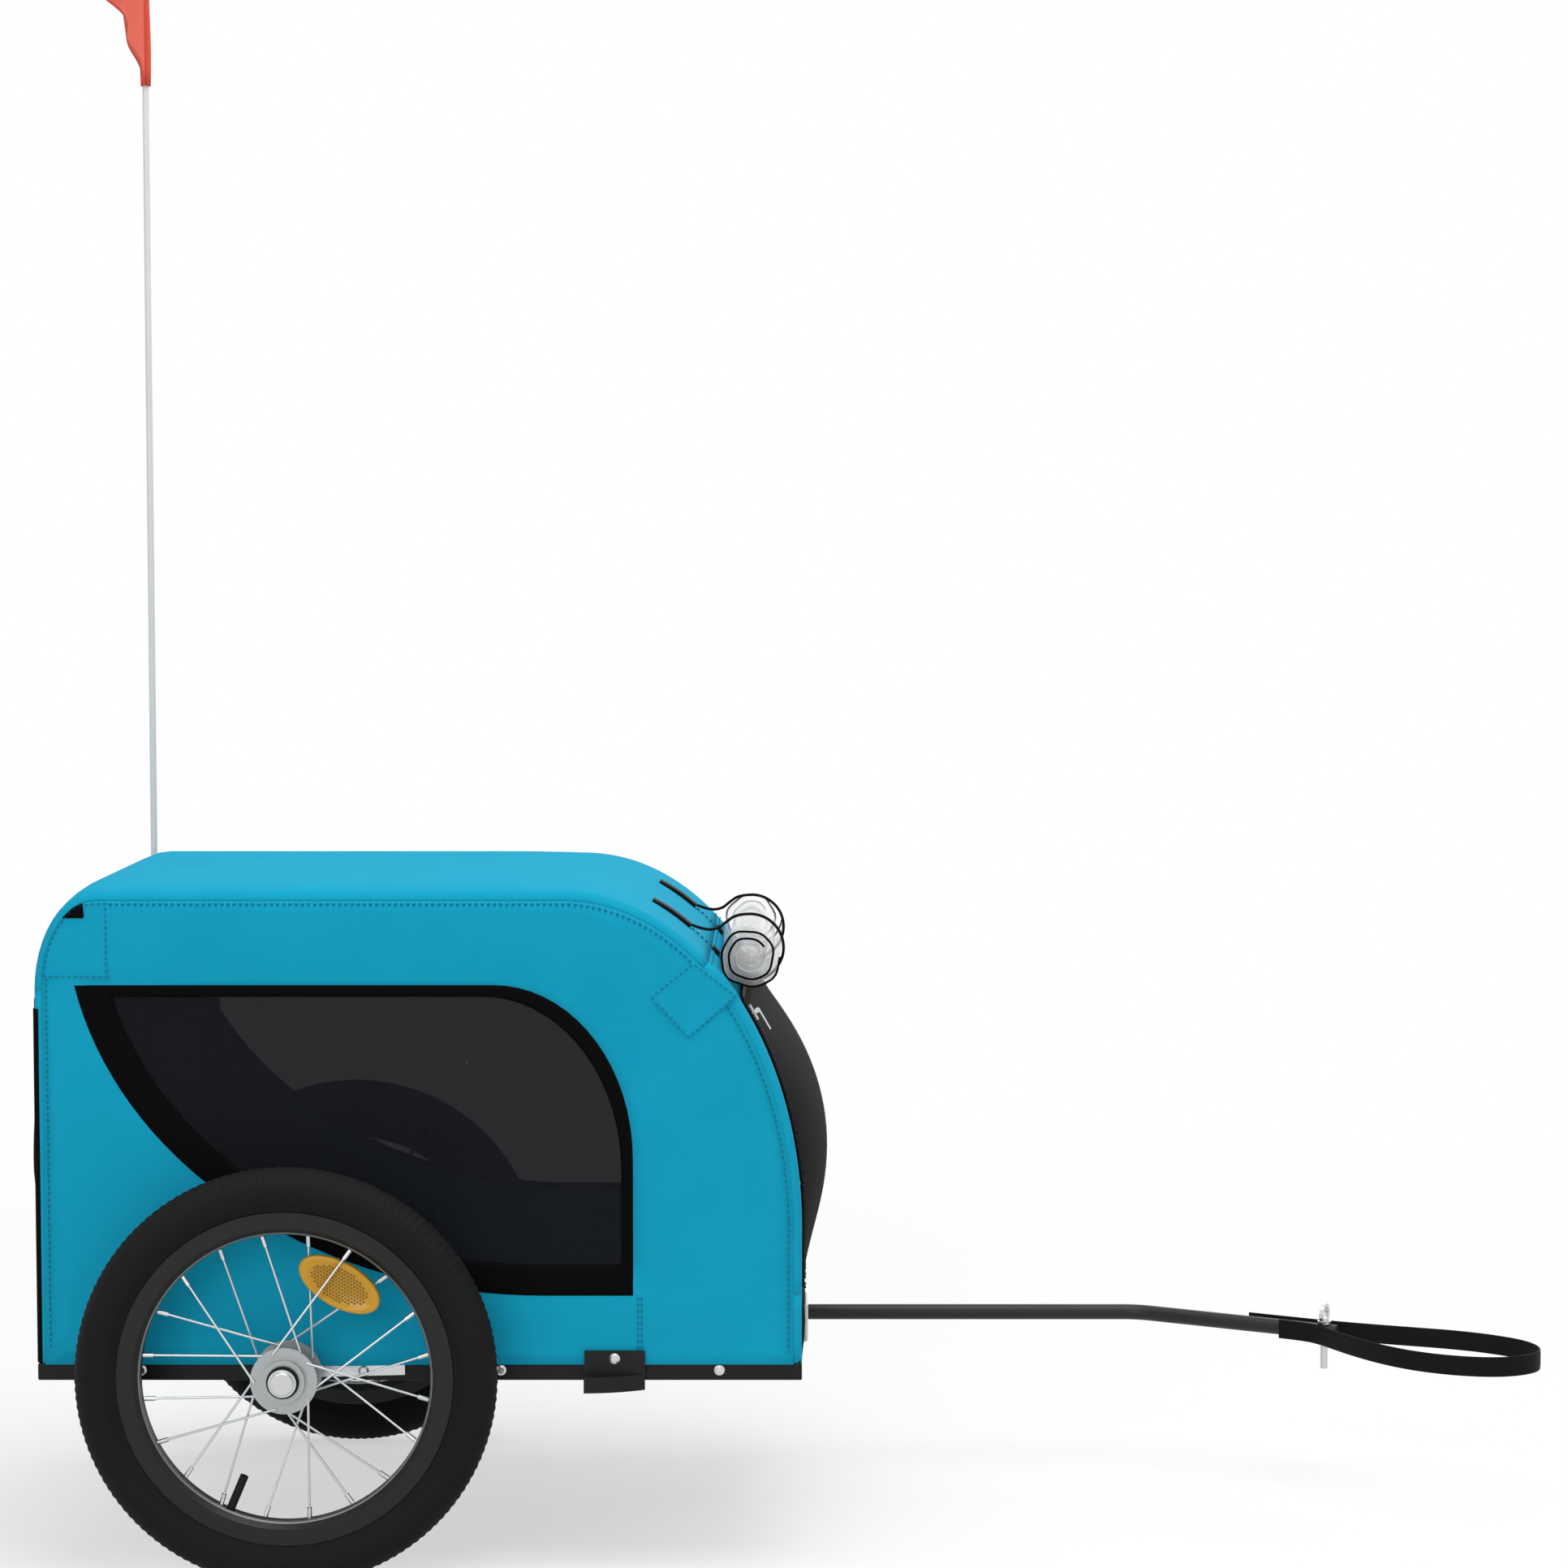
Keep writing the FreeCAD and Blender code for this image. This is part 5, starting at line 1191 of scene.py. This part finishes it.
strap_knots += [bar_end + bar_way * strap_reach * a - bar_left * right_swell * s for a, s in strap_right]
strap_knots += [bar_end + bar_way * strap_reach * a - bar_left * strap_gap for a in (-0.14, -0.27)]
strap_points = [v.co.copy() for v in nurbs_mesh("strap line", strap_knots, strap_steps).vertices]
strap_rows = bar_along(strap_points, strap_thick / 2, strap_width / 2, sides=12)
strap = panel("safety_strap_webbing", strap_rows, webbing, "tow_bar", around=True, node="safety_strap")

# %% Flag
flag_x, flag_y, flag_top, flag_low, flag_fly = -0.692, 0.232, 1.634, 1.449, 0.215
flag_tip, flag_start, flag_thickness = 0.0308, 0.0050, 0.0010
flag_ripple, flag_lean = 0.009, 0.004
sleeve_radius, sleeve_ripple = 0.0053, 0.0006
flag_middle_z = (flag_top + flag_low) / 2
flag_rows = []
for s in shares(40):
    half = mix(flag_top - flag_low, flag_tip, s) / 2
    ripple = flag_ripple * s * math.sin(4 * math.pi * s)
    row = []
    for v in shares(15):
        lean = flag_lean * s * math.sin(3 * math.pi * v + 5 * s)
        row.append(Vector((flag_x + ripple + lean, flag_y - flag_start - flag_fly * s,
                           flag_middle_z + half * (2 * v - 1))))
    flag_rows.append(row)
flag = panel("flag_cloth", flag_rows, flag_cloth, "flag", node="flag", thickness=flag_thickness, offset=0.0)
sleeve_rows = []
for v in shares(12):
    puff = sleeve_radius + sleeve_ripple * math.sin(9 * v)
    centre = Vector((flag_x, flag_y, mix(flag_low, flag_top, v)))
    sleeve_rows.append(oval(centre, Vector((puff, 0, 0)), Vector((0, puff, 0)), 20))
panel("flag_sleeve", sleeve_rows, flag_cloth, "flag", around=True, thickness=flag_thickness)

# %% [markdown]
# ## Frame pieces with rounded edges, and finishes for the rest
# Sharp CAD blocks look wrong close up, because real metal and plastic have a small radius that catches the
# light. A copy with a bevel stands for each block. Round CAD pieces keep their own mesh and get a finish.

# %% Rounded copies
for side in ("right", "left"):
    softened("side_rail_" + side, frame_paint, 0.0015)
softened("cover_hooks", moulded_black, 0.0006)
for side in ("right", "left"):
    softened("axle_socket_" + side, bright_steel, 0.0008)
softened("tow_bracket", frame_paint, 0.0008)
softened("hoop_brackets", frame_paint, 0.0006)
softened("floor_panel", floor_board, 0.0006)
softened("lock_knob", moulded_black, 0.0010, "lock_knob")
softened("front_reflectors", clear_lens, 0.0008, folds=True)
softened("rear_reflectors", red_lens, 0.0008, folds=True)

# %% Finishes on CAD nodes
plain_finishes = {
    "cross_members": frame_paint, "rear_hoop": frame_paint, "front_hoop": frame_paint,
    "rail_screws": bright_steel, "tow_bar": tow_paint, "hitch_pin": bright_steel,
    "flag_pole": pole_white, "flag_socket": moulded_black,
}
for side in ("right", "left"):
    plain_finishes.update({
        "inner_tube_" + side: soft_rubber, "rim_" + side: rim_paint, "spokes_" + side: bright_steel,
        "hub_" + side: hub_metal, "bearings_" + side: bright_steel, "dust_ring_" + side: soft_rubber,
        "axle_" + side: bright_steel, "push_button_" + side: button_metal,
    })
for node, finish in plain_finishes.items():
    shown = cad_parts[node]
    shown.data.materials.clear()
    shown.data.materials.append(finish)
print("finished nodes", len(plain_finishes))

# %% [markdown]
# ## Floor, light and background
# A pale floor keeps the shadow, and the world is white where the camera sees it. Soft lamps above, in front
# and behind light the cloth at a plain level, so that a colour renders about as it is written.

# %% Floor and world
floor_reach = 30
floor_mesh = bpy.data.meshes.new("floor")
floor_mesh.from_pydata([(-floor_reach, -floor_reach, 0), (floor_reach, -floor_reach, 0),
                        (floor_reach, floor_reach, 0), (-floor_reach, floor_reach, 0)], [], [(0, 1, 2, 3)])
floor = bpy.data.objects.new("floor", floor_mesh)
bpy.context.scene.collection.objects.link(floor)
floor_finish = bpy.data.materials.new("pale floor")
floor_finish.use_nodes = True
floor_tree = floor_finish.node_tree
floor_tree.nodes.remove(floor_tree.nodes["Principled BSDF"])
floor_diffuse = add_node(floor_tree, "ShaderNodeBsdfDiffuse", Color=(0.86, 0.86, 0.86, 1.0))
floor_glow = add_node(floor_tree, "ShaderNodeEmission", Color=white, Strength=1.0)
floor_path = add_node(floor_tree, "ShaderNodeLightPath").outputs
floor_seen = math_node(floor_tree, "MAXIMUM", floor_path["Is Camera Ray"], floor_path["Is Glossy Ray"])
floor_place = add_node(floor_tree, "ShaderNodeTexCoord").outputs["Object"]
floor_distance = add_node(floor_tree, "ShaderNodeVectorMath", operation="LENGTH", Vector=floor_place)
floor_fade = add_node(floor_tree, "ShaderNodeMapRange", interpolation_type="SMOOTHSTEP", From_Min=0.9,
                      From_Max=2.6, To_Min=0.55, To_Max=1.0, Value=floor_distance.outputs["Value"])
floor_mix = add_node(floor_tree, "ShaderNodeMixShader")
floor_share = math_node(floor_tree, "MULTIPLY", floor_seen, floor_fade.outputs["Result"])
for socket, source in zip(floor_mix.inputs, (floor_share, floor_diffuse.outputs[0], floor_glow.outputs[0])):
    feed(floor_tree, socket, source)
feed(floor_tree, floor_tree.nodes["Material Output"].inputs["Surface"], floor_mix.outputs[0])
floor_mesh.materials.append(floor_finish)

world_level = 0.55
world = bpy.data.worlds.new("studio")
bpy.context.scene.world = world
world.use_nodes = True
world_tree = world.node_tree
world_light = world_tree.nodes["Background"].inputs
world_path = add_node(world_tree, "ShaderNodeLightPath").outputs
world_mirrored = math_node(world_tree, "MAXIMUM", world_path["Is Glossy Ray"],
                           world_path["Is Transmission Ray"])
world_seen = math_node(world_tree, "MAXIMUM", world_path["Is Camera Ray"], world_mirrored)
world_more = math_node(world_tree, "MULTIPLY", world_seen, 1.0 - world_level)
feed(world_tree, world_light["Color"], white)
feed(world_tree, world_light["Strength"], math_node(world_tree, "ADD", world_level, world_more))


# %% Lamps
def lamp(name, where, aim, size, power):
    """A soft square lamp that points at a place."""
    data = bpy.data.lights.new(name, "AREA")
    data.energy = power
    data.size = size
    light = bpy.data.objects.new(name, data)
    bpy.context.scene.collection.objects.link(light)
    light.location = where
    light.rotation_euler = (Vector(aim) - Vector(where)).to_track_quat("-Z", "Y").to_euler()
    return light


lamp("key above", (0.2, -0.6, 3.6), (-0.3, 0.0, 0.4), 2.4, 78)
lamp("front soft", (-1.4, -4.2, 2.2), (-0.3, 0.0, 0.4), 2.6, 50)
lamp("back soft", (1.8, 3.4, 2.4), (-0.2, 0.0, 0.5), 2.4, 40)
